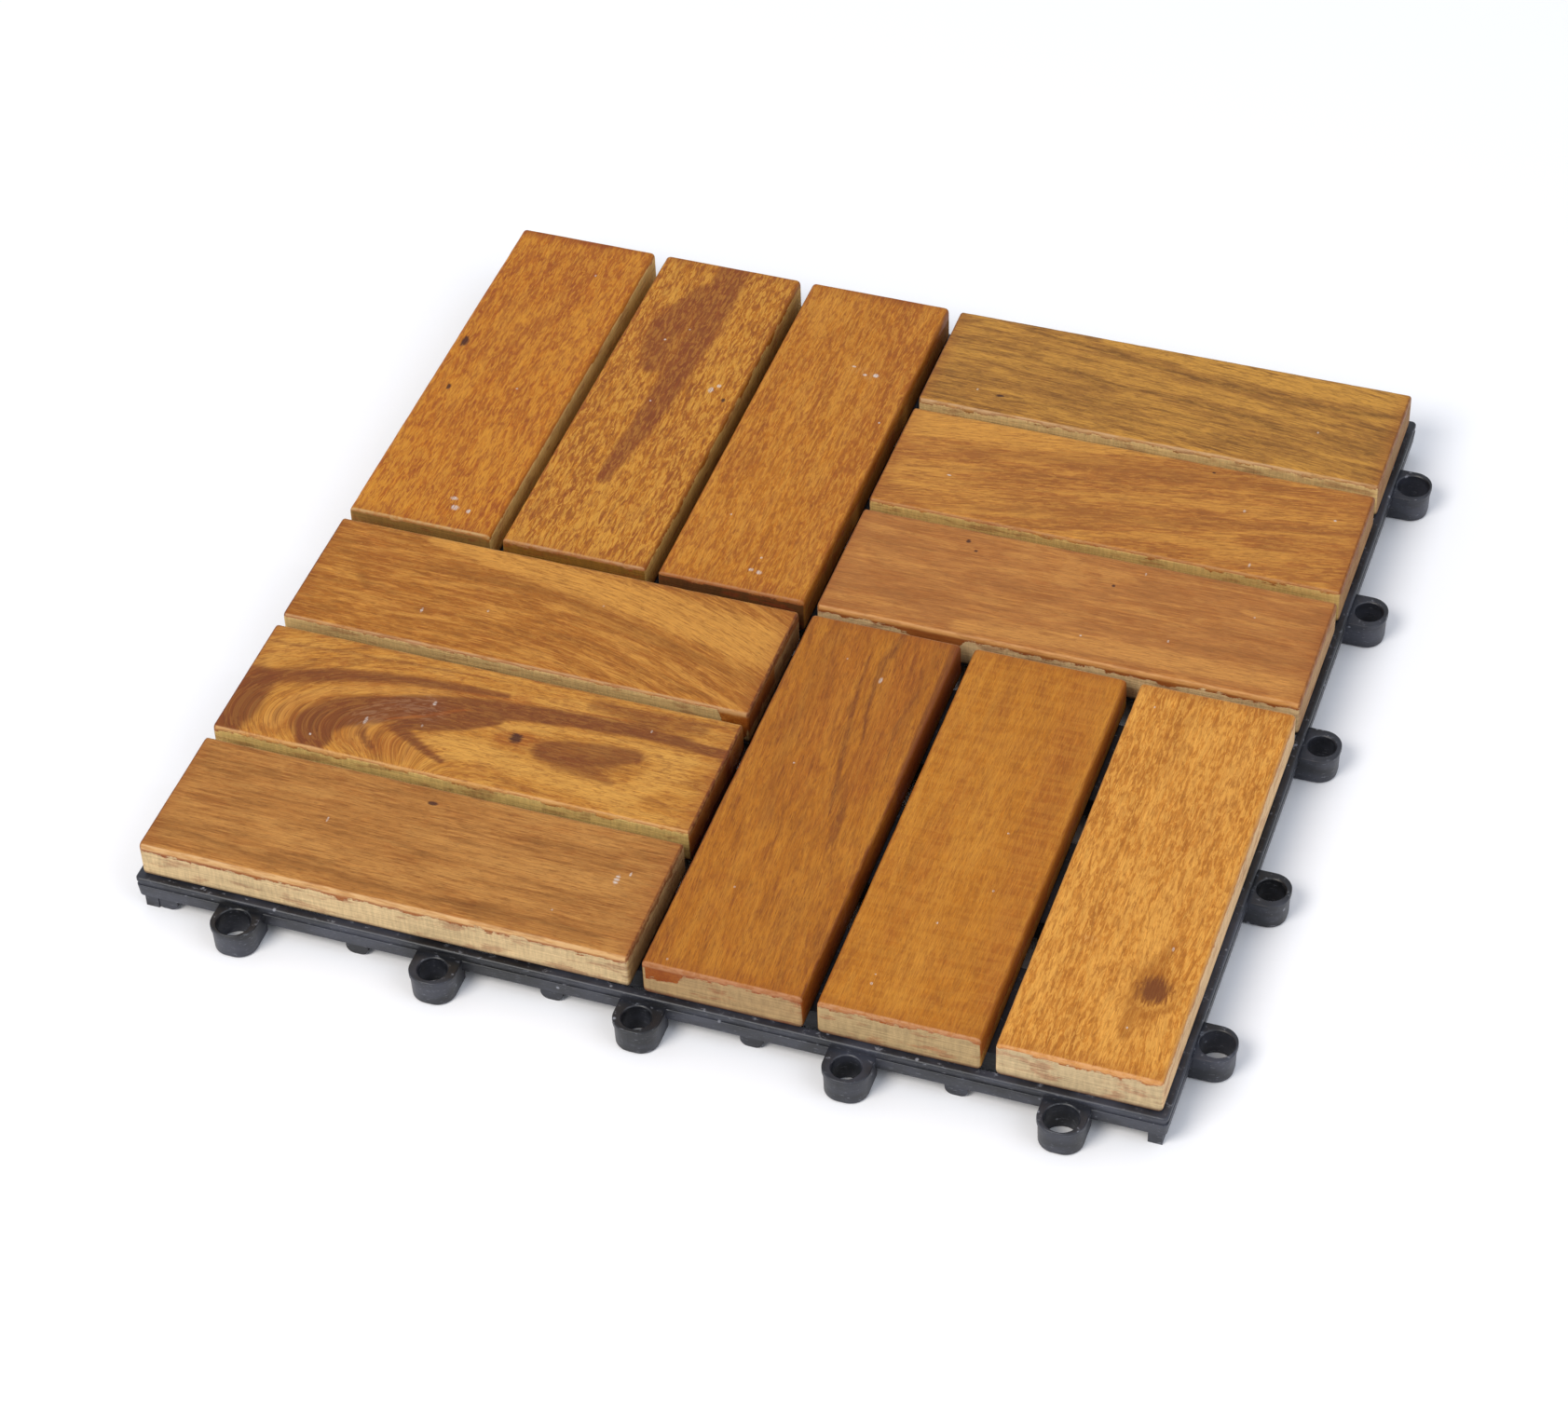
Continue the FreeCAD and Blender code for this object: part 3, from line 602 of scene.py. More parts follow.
        "sides": (3.4, 1.4, 1.0, 1.4), "raw": ((146, 102, 56), (104, 72, 44)),
        "arris": ((160, 96, 40), (176, 122, 82)),
    },
}

bandFill = 0.22         # widens the full middle of every band
archBlend = (-26, 14)   # mm from the arch's middle over which its grain runs straight again
dipEnd = 72.5           # mm, where a dip is at its deepest
knotSway = {"along": 4, "across": 2.2, "push": 0.8}     # how the grain swells round a knot
farOff = 30             # half widths beside a vein where it is surely out of sight
figureKinds = ("dark", "gold", "red", "sheen")
veinsPerLayer = 4


def smoothStep(value):
    value = np.clip(value, 0, 1)
    return value * value * (3 - 2 * value)


def bandStrength(u, v, points, softness):
    # full along the middle of a band drawn through points, falling to 0 at its half width
    best = np.zeros_like(u)
    for (u0, v0, half0), (u1, v1, half1) in zip(points[:-1], points[1:]):
        du = u1 - u0
        dv = v1 - v0
        t = np.clip(((u - u0) * du + (v - v0) * dv) / (du * du + dv * dv), 0, 1)
        distance = np.hypot(u - u0 - t * du, v - v0 - t * dv)
        half = half0 + t * (half1 - half0)
        best = np.maximum(best, smoothStep((1 - distance / half) / softness + bandFill))
    return best


def grainOf(look, u, v):
    # number that stays the same along each line of the grain
    grain = v - look.get("slope", 0.0) * u
    if "arch" in look:
        middle, level, flat = look["arch"]
        start, end = archBlend
        bent = np.hypot(np.minimum(u - middle, 0) * flat, v - level)
        straight = smoothStep((u - middle - start) / (end - start))
        grain = bent + straight * (v - level - bent)
    if "dip" in look:
        start, drop = look["dip"]
        grain = v + drop * (np.maximum(u - start, 0) / (dipEnd - start)) ** 2
    for kind, ku, kv, long, wide in look["marks"]:
        if kind == "knot":
            reachAlong = knotSway["along"] * long
            reachAcross = knotSway["across"] * wide
            reach = np.exp(-((u - ku) / reachAlong) ** 2 - ((v - kv) / reachAcross) ** 2)
            grain = grain + knotSway["push"] * wide * np.tanh((v - kv) / wide) * reach
    return grain


def veinPlace(u, v, points):
    # how many half widths a point lies beside a vein, which thins out past its ends
    along, middle, half = zip(*points)
    beyond = np.maximum(np.maximum(along[0] - u, u - along[-1]), 0)
    width = np.interp(u, along, half) / (1 + beyond ** 2)
    return np.clip((v - np.interp(u, along, middle)) / width, -farOff, farOff)


def storeColours(mesh, name, colours):
    mesh.attributes.new(name, "FLOAT_COLOR", "POINT").data.foreach_set("color", colours.ravel())


def paintSlat(piece, look):
    mesh = piece.data
    count = len(mesh.vertices)
    place = np.zeros(count * 3, np.float32)
    mesh.attributes["slatPlace"].data.foreach_get("vector", place)
    u, v, h = place.reshape(-1, 3).astype(float).T
    figure = np.zeros((count, 4), np.float32)
    for kind, strength, softness, points in look["bands"]:
        channel = figureKinds.index(kind)
        figure[:, channel] = np.maximum(figure[:, channel], strength * bandStrength(u, v, points, softness))
    storeColours(mesh, "slatFigure", figure)
    for first in range(0, len(look["veins"]), veinsPerLayer):
        layer = np.full((count, 4), farOff, np.float32)
        for channel, (kind, strength, points) in enumerate(look["veins"][first:first + veinsPerLayer]):
            layer[:, channel] = veinPlace(u, v, points)
        storeColours(mesh, "slatVeins" + str(first // veinsPerLayer), layer)
    flow = np.stack([u, grainOf(look, u, v), h], 1).astype(np.float32)
    mesh.attributes.new("slatFlow", "FLOAT_VECTOR", "POINT").data.foreach_set("vector", flow.ravel())


# Finish of a slat: stained and oiled on top, raw sawn wood below the stain's edge
woodFinish = {
    "roughness": 0.5,
    "rawRoughness": 0.85,
    "ior": 1.48,
    "gloss": 0.3,
    "bump": 0.4,
    "bumpDepth": 0.00025,
    "thickness": 12.0,      # mm, of a slat
    "halfLength": 73.0,
    "leastStain": 0.9,      # mm that the stain always comes down the sides
    # how bright the studio's light shows a colour on top, on front faces and on right faces
    "topGain": 1.16,
    "frontGain": 1.17,
    "rightGain": 0.88,
    "sheen": 0.028,         # brightness that the gloss adds
    "seedStep": 13.7,       # grains between the noises of one slat and the next
}
# tones that all slats share, as seen on screen
woodTones = {
    "red": (162, 92, 42),
    "end": (146, 82, 42),       # stain gathered at both ends
    # painted reflection: pale sheen laid into the colour where sheen bands lie
    "sheen": (170, 138, 124),
    "white": (222, 208, 198),
    "pin": (70, 40, 24),
    "knot": (112, 68, 40),
    "stain": (136, 66, 30),     # stain on the sawn sides
    # painted contact shade: darkens the sides along the bottom, where they meet the base
    "foot": (84, 40, 27),       # along the bottom of the sides
}
# noises: what they follow, mm to one grain along, across and up, shift, detail, roughness, distortion
woodNoises = {
    "fibre": ("slatFlow", (16, 0.8, 0.9), 0, 3, 0.62, 0.35),
    "fineFibre": ("slatFlow", (5, 0.24, 0.3), 3, 2, 0.6, 0),
    "cloud": ("slatFlow", (34, 5.5, 8), 7, 4, 0.6, 0.7),
    "fleck": ("slatFlow", (4.4, 0.95, 1.1), 11, 3, 0.66, 0.8),
    "blotch": ("slatPlace", (9, 6, 8), 13, 4, 0.6, 0.6),
    "pore": ("slatFlow", (2.6, 0.26, 0.3), 17, 1, 0.5, 0),
    "wander": ("slatPlace", (9, 5, 8), 19, 3, 0.6, 0),
    "waves": ("slatFlow", (1.9, 16, 8), 23, 2, 0.5, 0.3),
    "rub": ("slatPlace", (7, 2.4, 1.0), 31, 3, 0.6, 0),
    "runs": ("slatPlace", (9, 9, 60), 37, 4, 0.7, 0),
    "splits": ("slatPlace", (6, 6, 0.6), 41, 4, 0.7, 0),
    "saw": ("slatPlace", (22, 22, 0.35), 43, 4, 0.7, 0),
    "sawAcross": ("slatPlace", (0.8, 1.3, 5), 47, 3, 0.6, 0),
    "smear": ("slatPlace", (12, 12, 3), 53, 4, 0.65, 0),
}
# layers, laid in this order: noise, where in it a layer starts and is full, strength, tone,
# the number of the slat's look that scales it, and what holds it back
groundLayers = [
    ("cloud", 0.48, 0.62, 0.6, "light", None, ()),
    ("cloud", 0.48, 0.36, 0.42, "dark", None, ()),
    ("blotch", 0.48, 0.6, 0.85, "red", "redness", ()),
]
fibreLayers = [
    ("fibre", 0.5, 0.61, 0.55, "light", "streak", ("clearOfDark", "patchy")),
    ("fibre", 0.49, 0.39, 0.42, "dark", "streak", ("patchy",)),
    ("fleck", 0.5, 0.57, 0.8, "light", "fleck", ("clearOfDark",)),
    ("fleck", 0.47, 0.4, 0.62, "dark", "fleck", ()),
    ("waves", 0.45, 0.57, 0.5, "light", "ripple", ()),
]
# bands, the dark one last: how far the fibres tear it, where it starts and is full, strength, tone
bandLayers = {
    "gold": (2.6, 0.05, 1.05, 0.85, "light"),
    "red": (2.2, 0.05, 1.1, 0.7, "red"),
    "dark": (1.9, 0.06, 0.92, 0.88, "dark"),
}


def stained(colour, gain):
    # base colour that looks as given under the studio's light
    base = [max((value - woodFinish["sheen"]) / gain, 0.004) for value in shade(*colour)[:3]]
    return (*base, 1.0)


def attribute(tree, name):
    return addNode(tree, "ShaderNodeAttribute", attribute_name=name, attribute_type="GEOMETRY").outputs


def stretched(tree, vector, grain, shift):
    # coordinates counted in grains: so many millimetres along, across and up to one
    scaled = vectorCalc(tree, "MULTIPLY", vector, [1 / size for size in grain])
    return vectorCalc(tree, "ADD", scaled, (shift, shift * 0.7, shift * 1.3))


def noiseOf(tree, vector, detail=2.0, roughness=0.5, distortion=0.0):
    return addNode(tree, "ShaderNodeTexNoise", {
        "Vector": vector, "Scale": 1.0, "Detail": detail, "Roughness": roughness, "Distortion": distortion,
    }).outputs[0]


def mixColour(tree, factor, first, second, blend="MIX"):
    node = addNode(tree, "ShaderNodeMix", {0: factor, 6: first, 7: second}, data_type="RGBA", blend_type=blend)
    return node.outputs[2]


def mixNumber(tree, factor, first, second):
    return addNode(tree, "ShaderNodeMix", {0: factor, 2: first, 3: second}, data_type="FLOAT").outputs[0]


def brightened(tree, colour, factor):
    return mixColour(tree, 1.0, colour, combine(tree, factor, factor, factor), "MULTIPLY")


def newMaterial(name):
    material = bpy.data.materials.new(name)
    material.use_nodes = True
    return material, material.node_tree, material.node_tree.nodes["Principled BSDF"]


def addBump(tree, surface, height, strength, depth):
    bump = addNode(tree, "ShaderNodeBump", {"Height": height, "Strength": strength, "Distance": depth})
    tree.links.new(bump.outputs[0], surface.inputs["Normal"])


def lay(wood, tone, strength, *shares):
    # tints the wood with a tone, as strongly as its shares say
    factor = scaledBy(wood["tree"], *shares, strength)
    wood["colour"] = mixColour(wood["tree"], factor, wood["colour"], wood["tones"][tone])


def layNoises(wood, layers):
    for noise, start, full, strength, tone, scale, masks in layers:
        if scale:
            strength *= wood["look"].get(scale, 0.0)
        if strength:
            share = smoothRange(wood["tree"], wood[noise], start, full)
            lay(wood, tone, strength, share, *[wood[mask] for mask in masks])


def layBands(wood):
    # bands drawn through the listed points, broken up along the fibres
    tree = wood["tree"]
    figure = attribute(tree, "slatFigure")
    # the fourth channel holds where the painted sheen lies
    wood["sheen"] = figure["Alpha"]
    drawn = dict(zip(figureKinds, separate(tree, figure["Vector"])))
    texture = calc(tree, "MULTIPLY_ADD", wood["fibre"], 0.5, scaledBy(tree, wood["fleck"], 0.5))
    texture = calc(tree, "SUBTRACT", texture, 0.5)
    for kind, (torn, start, full, strength, tone) in bandLayers.items():
        edge = calc(tree, "MULTIPLY_ADD", scaledBy(tree, texture, drawn[kind]), torn, drawn[kind])
        share = scaledBy(tree, smoothRange(tree, edge, start, full), strength)
        lay(wood, tone, 1.0, share)
    wood["clearOfDark"] = calc(tree, "MULTIPLY_ADD", share, -0.7, 1.0)


def layVeins(wood):
    # thin lines along the grain, each in one channel of a layer
    tree = wood["tree"]
    wander = centred(tree, wood["wander"], 1.8)
    wood["broken"] = smoothRange(tree, wood["fibre"], 0.34, 0.62, 0.4, 1.0)
    for index, (kind, strength, points) in enumerate(wood["look"]["veins"]):
        if index % veinsPerLayer == 0:
            layer = attribute(tree, "slatVeins" + str(index // veinsPerLayer))
            channels = [*separate(tree, layer["Vector"]), layer["Alpha"]]
        distance = calc(tree, "ABSOLUTE", calc(tree, "ADD", channels[index % veinsPerLayer], wander))
        lay(wood, bandLayers[kind][-1], strength, smoothFall(tree, distance, 0.1, 1.5), wood["broken"])


def layFibres(wood):
    # streaks that come and go, flecks, ripple and pores
    tree = wood["tree"]
    wood["patchy"] = smoothRange(tree, wood["blotch"], 0.4, 0.6, 0.3, 1.0)
    layNoises(wood, fibreLayers)
    wood["pores"] = smoothRange(tree, wood["pore"], 0.6, 0.68)
    lay(wood, "dark", 0.42, wood["pores"])
    wood["colour"] = brightened(tree, wood["colour"], calc(tree, "MULTIPLY_ADD", wood["fineFibre"], 0.9, 0.55))


def layEnds(wood):
    # stain gathers at both ends, and a painted sheen, a pale reflection painted into the colour, silvers a few
    # places
    tree = wood["tree"]
    tipFar = woodFinish["halfLength"]
    reach = calc(tree, "MULTIPLY_ADD", wood["cloud"], 4.0, wood["along"])
    lay(wood, "end", 0.35, smoothRange(tree, reach, tipFar - 4, tipFar + 3))
    lay(wood, "sheen", 0.35, wood["sheen"], smoothRange(tree, wood["fleck"], 0.42, 0.62))


def layMarks(wood):
    # knots, pin knots, rings and rubbed white spots, all ovals that are 1 at their edge
    tree = wood["tree"]
    u, v = wood["u"], wood["v"]
    wobble = centred(tree, wood["fleck"], 1.5)
    onTop = smoothFall(tree, wood["down"], 0.5, 1.6)
    hollow = 0.0
    for kind, markU, markV, long, wide in wood["look"]["marks"]:
        du = calc(tree, "DIVIDE", calc(tree, "SUBTRACT", u, markU), long)
        dv = calc(tree, "DIVIDE", calc(tree, "SUBTRACT", v, markV), wide)
        distance = calc(tree, "ADD", squareRootOfSquares(tree, du, dv), wobble)
        core = 0.5 if kind == "knot" else 0.6
        share = scaledBy(tree, smoothFall(tree, distance, core, 1.3), onTop)
        if kind == "white":
            lay(wood, "white", 1.0, share, smoothRange(tree, wood["fineFibre"], 0.4, 0.6, 0.2, 0.95))
        elif kind == "ring":
            edge = calc(tree, "ABSOLUTE", calc(tree, "SUBTRACT", distance, 0.85))
            lay(wood, "dark", 0.4, smoothFall(tree, edge, 0.02, 0.2), onTop, wood["broken"])
        elif kind == "pin":
            lay(wood, "pin", 0.85, share)
        elif kind == "knot":
            lay(wood, "dark", 0.5, smoothFall(tree, distance, 0.7, 2.3), onTop)
            lay(wood, "knot", 0.8, share)
            arc = calc(tree, "ABSOLUTE", calc(tree, "SUBTRACT", distance, 1.25))
            corner = markU + markV
            lowLeft = smoothRange(tree, calc(tree, "ADD", u, v), corner + 1.0, corner - 3.0)
            lay(wood, "light", 0.5, smoothFall(tree, arc, 0.02, 0.2), lowLeft, onTop)
        if kind in ("pin", "knot"):
            hollow = calc(tree, "MAXIMUM", hollow, share)
    wood["hollow"] = hollow


def layEdges(wood):
    # arris: where the top turns down, with its own tone on long edges and ends; pale tones are rubbed wear with
    # a painted highlight, dark tones are stain with painted shade
    tree = wood["tree"]
    down, along = wood["down"], wood["along"]
    tipFar = woodFinish["halfLength"]
    # patches over the arris, of wear together with painted highlight and shade
    wornAndLitPatches = smoothRange(tree, wood["rub"], 0.38, 0.58, 0.45, 1.0)
    lay(wood, "edge", 0.85, smoothRange(tree, down, 0.1, 0.4), smoothRange(tree, down, 2.4, 1.3), wornAndLitPatches)
    onTip = smoothRange(tree, along, tipFar - 0.9, tipFar - 0.4)
    lay(wood, "tip", 0.9, onTip, smoothRange(tree, down, 2.0, 1.2), wornAndLitPatches)
    # stain that ran down the sides, darker and redder on the sawn faces
    lay(wood, "stain", 0.45, smoothRange(tree, down, 1.2, 2.2))


def stainDepth(wood, onEnd):
    # how far the stain comes down: its own depth on each of the four sides, then ragged
    tree, look = wood["tree"], wood["look"]
    u, v = wood["u"], wood["v"]
    vLow, vHigh, uLow, uHigh = look["sides"]
    longDepth = mixNumber(tree, calc(tree, "GREATER_THAN", v, 0.0), vLow, vHigh)
    endDepth = mixNumber(tree, calc(tree, "GREATER_THAN", u, 0.0), uLow, uHigh)
    depth = mixNumber(tree, onEnd, longDepth, endDepth)
    depth = calc(tree, "ADD", depth, centred(tree, wood["runs"], 6.0))
    depth = calc(tree, "ADD", depth, centred(tree, wood["splits"], 4.0))
    if "drip" in look:
        at, reach = look["drip"]
        near = smoothFall(tree, calc(tree, "ABSOLUTE", calc(tree, "SUBTRACT", u, at)), 2.0, reach + 2.0)
        depth = calc(tree, "ADD", depth, scaledBy(tree, near, calc(tree, "LESS_THAN", v, 0.0), 9.0))
    if "patch" in look:
        low, high = look["patch"]
        between = scaledBy(tree, smoothRange(tree, v, low - 1.5, low + 1.5), calc(tree, "LESS_THAN", v, high))
        depth = calc(tree, "ADD", depth, scaledBy(tree, between, onEnd, 4.0))
    return calc(tree, "MAXIMUM", depth, woodFinish["leastStain"])


def layRawWood(wood, longGain, endGain):
    # sawn wood below the stain: saw marks, smears of stain, and painted contact shade darkening its foot
    tree = wood["tree"]
    tipFar = woodFinish["halfLength"]
    onEnd = smoothRange(tree, wood["along"], tipFar - 0.5, tipFar - 0.08)
    belowStain = calc(tree, "SUBTRACT", wood["down"], stainDepth(wood, onEnd))
    raw = smoothRange(tree, belowStain, -0.15, 0.25)
    rawLong, rawEnd = wood["look"]["raw"]
    stain = stained(woodTones["stain"], longGain)
    colour = mixColour(tree, onEnd, stained(rawLong, longGain), stained(rawEnd, endGain))
    colour = mixColour(tree, scaledBy(tree, smoothRange(tree, wood["smear"], 0.52, 0.64), 0.4), colour, stain)
    grit = calc(tree, "MULTIPLY_ADD", wood["saw"], 1.25, scaledBy(tree, wood["sawAcross"], 0.7))
    colour = brightened(tree, colour, calc(tree, "ADD", grit, 0.03))
    # painted contact shade, darkest at the underside and gone 2.2 mm up
    foot = smoothFall(tree, wood["h"], 0.4, 2.2, 0.75)
    colour = mixColour(tree, foot, colour, stained(woodTones["foot"], longGain))
    stainLine = smoothFall(tree, calc(tree, "ABSOLUTE", belowStain), 0.0, 0.6, 0.45)
    above = mixColour(tree, stainLine, wood["colour"], stain)
    wood["colour"] = mixColour(tree, raw, above, colour)
    wood["raw"] = raw


def makeWood(name, look, seed, facesFront):
    finish = woodFinish
    material, tree, surface = newMaterial(name)
    place = attribute(tree, "slatPlace")["Vector"]
    followed = {"slatPlace": place, "slatFlow": attribute(tree, "slatFlow")["Vector"]}
    u, v, h = separate(tree, place)
    # edge and tip tones: wear and stain, with a painted highlight on the pale ones and painted shade on the
    # dark ones
    tones = {**woodTones, "edge": look["arris"][0], "tip": look["arris"][1]}
    tones.update({key: look[key] for key in ("ground", "light", "dark")})
    wood = {
        "tree": tree, "look": look, "u": u, "v": v, "h": h,
        "along": calc(tree, "ABSOLUTE", u),
        "down": calc(tree, "SUBTRACT", finish["thickness"], h),
        "tones": {key: stained(colour, finish["topGain"]) for key, colour in tones.items()},
    }
    for key, (followedName, grain, shift, *texture) in woodNoises.items():
        vector = stretched(tree, followed[followedName], grain, finish["seedStep"] * seed + shift)
        wood[key] = noiseOf(tree, vector, *texture)

    wood["colour"] = wood["tones"]["ground"]
    layNoises(wood, groundLayers)
    layBands(wood)
    layVeins(wood)
    layFibres(wood)
    layEnds(wood)
    layMarks(wood)
    layEdges(wood)
    gains = (finish["frontGain"], finish["rightGain"])
    layRawWood(wood, *(gains if facesFront else gains[::-1]))
    tree.links.new(wood["colour"], surface.inputs["Base Color"])

    rough = calc(tree, "MULTIPLY_ADD", wood["fleck"], 0.2, finish["roughness"] - 0.1)
    rough = calc(tree, "MULTIPLY_ADD", wood["pores"], 0.15, rough)
    rough = mixNumber(tree, wood["raw"], rough, finish["rawRoughness"])
    tree.links.new(rough, surface.inputs["Roughness"])
    surface.inputs["IOR"].default_value = finish["ior"]
    surface.inputs["Specular IOR Level"].default_value = finish["gloss"]

    relief = calc(tree, "MULTIPLY_ADD", wood["fibre"], 0.5, scaledBy(tree, wood["fineFibre"], 0.35))
    for key, height in (("pores", -0.35), ("fleck", 0.25 * look["fleck"]), ("hollow", -1.2)):
        relief = calc(tree, "MULTIPLY_ADD", wood[key], height, relief)
    rawRelief = calc(tree, "MULTIPLY_ADD", wood["saw"], 2.2, scaledBy(tree, wood["sawAcross"], 1.2))
    addBump(tree, surface, mixNumber(tree, wood["raw"], relief, rawRelief), finish["bump"], finish["bumpDepth"])
    return material


slatTree = makeSlatTree()
for number, (node, look) in enumerate(slatLooks.items()):
    low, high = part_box(node)
    size = high - low
    liesAcross = size.x > size.y    # left to right, so that its long side faces the front
    values = {key: value * millimetre for key, value in slatShape.items()}
    values.update({
        "length": max(size.x, size.y),
        "width": min(size.x, size.y),
        "thickness": size.z,
        "seed": 2.3 * number,
        "turn": 0.0 if liesAcross else math.pi / 2,
        "centre": tuple((low + high) / 2),
        "finish": makeWood("wood of " + node, look, number + 1, liesAcross),
    })
    slat = growPiece("wood_" + node, slatTree, values)
    paintSlat(slat, look)
    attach(slat, "root")
    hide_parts(node)
print("slats grown and painted:", len(slatLooks))


# Base: the CAD moulding as it is, in black plastic with a fine grain and a few scuffs
plasticFinish = {
    "black": (19, 20, 24),
    "grey": (54, 56, 66),
    "scuff": (140, 142, 150),
    "roughness": 0.42,
    "ior": 1.5,
    "bump": 0.3,
    "bumpDepth": 0.00015,
    # noises: mm to one grain along x, y and z, shift, detail, roughness
    "cloud": ((22, 22, 9), 1.0, 3, 0.6),
    "grain": ((0.5, 0.5, 0.5), 5.0, 2, 0.6),
    "scratch": ((2.4, 2.0, 0.4), 9.0, 4, 0.7),
    "nick": ((6, 6, 6), 2.0),
}


def objectPlace(tree):
    # where a point lies, in millimetres
    place = addNode(tree, "ShaderNodeTexCoord").outputs["Object"]
    return vectorCalc(tree, "SCALE", place, 1 / millimetre)


def finishNoise(tree, place, noise):
    grain, shift, *texture = noise
    return noiseOf(tree, stretched(tree, place, grain, shift), *texture)


def makePlastic(finish):
    material, tree, surface = newMaterial("black moulded plastic")
    place = objectPlace(tree)
    cloud, grain, scratch = [finishNoise(tree, place, finish[name]) for name in ("cloud", "grain", "scratch")]
    nick = addNode(tree, "ShaderNodeTexVoronoi", {
        "Vector": stretched(tree, place, *finish["nick"]), "Scale": 1.0, "Randomness": 1.0,
    }).outputs["Distance"]
    colour = mixColour(
        tree, smoothRange(tree, cloud, 0.35, 0.7), shade(*finish["black"]), shade(*finish["grey"]))
    scratched = scaledBy(tree, smoothRange(tree, scratch, 0.58, 0.72), 0.6)
    worn = calc(tree, "MAXIMUM", scratched, smoothFall(tree, nick, 0.05, 0.11, 0.8))
    colour = mixColour(tree, worn, colour, shade(*finish["scuff"]))
    tree.links.new(colour, surface.inputs["Base Color"])
    rough = calc(tree, "MULTIPLY_ADD", cloud, 0.2, finish["roughness"] - 0.1)
    rough = calc(tree, "MULTIPLY_ADD", worn, 0.3, rough)
    tree.links.new(rough, surface.inputs["Roughness"])
    surface.inputs["IOR"].default_value = finish["ior"]
    relief = calc(tree, "MULTIPLY_ADD", grain, 0.6, scaledBy(tree, scratch, 0.5))
    addBump(tree, surface, relief, finish["bump"], finish["bumpDepth"])
    return material


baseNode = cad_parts["base_grid"]
baseNode.data.materials.clear()
baseNode.data.materials.append(makePlastic(plasticFinish))
print("base finished")


# Screws, two to a slat, seen from below inside the posts. Sizes are in mm.
screwShape = {
    "headRadius": 3.5,
    "headHeight": 2.2,
    "headEdge": 0.9,
    "shankRadius": 1.35,
    "threadRadius": 1.75,
    "threadPitch": 1.3,
    "tipLength": 2.5,
    "crossSpan": 3.8,
    "crossWidth": 0.9,
    "crossDepth": 1.3,
}
screwDetail = {
    "fromMiddle": 50.0,     # mm, each side of a slat's middle
    "threadStart": 0.16,    # shares of the shank
    "threadShare": 0.8,
    "headSides": 40,
    "shankSides": 24,
    "threadSides": 5,
}
steelFinish = {
    "bright": (178, 174, 162),
    "dull": (128, 124, 116),
    "bump": 0.15,
    "bumpDepth": 0.00005,
    "brushed": ((0.15, 1.6, 0.6), 3.0, 3, 0.6),
    "spots": ((1.2, 1.2, 1.2), 8.0, 3, 0.6),
}


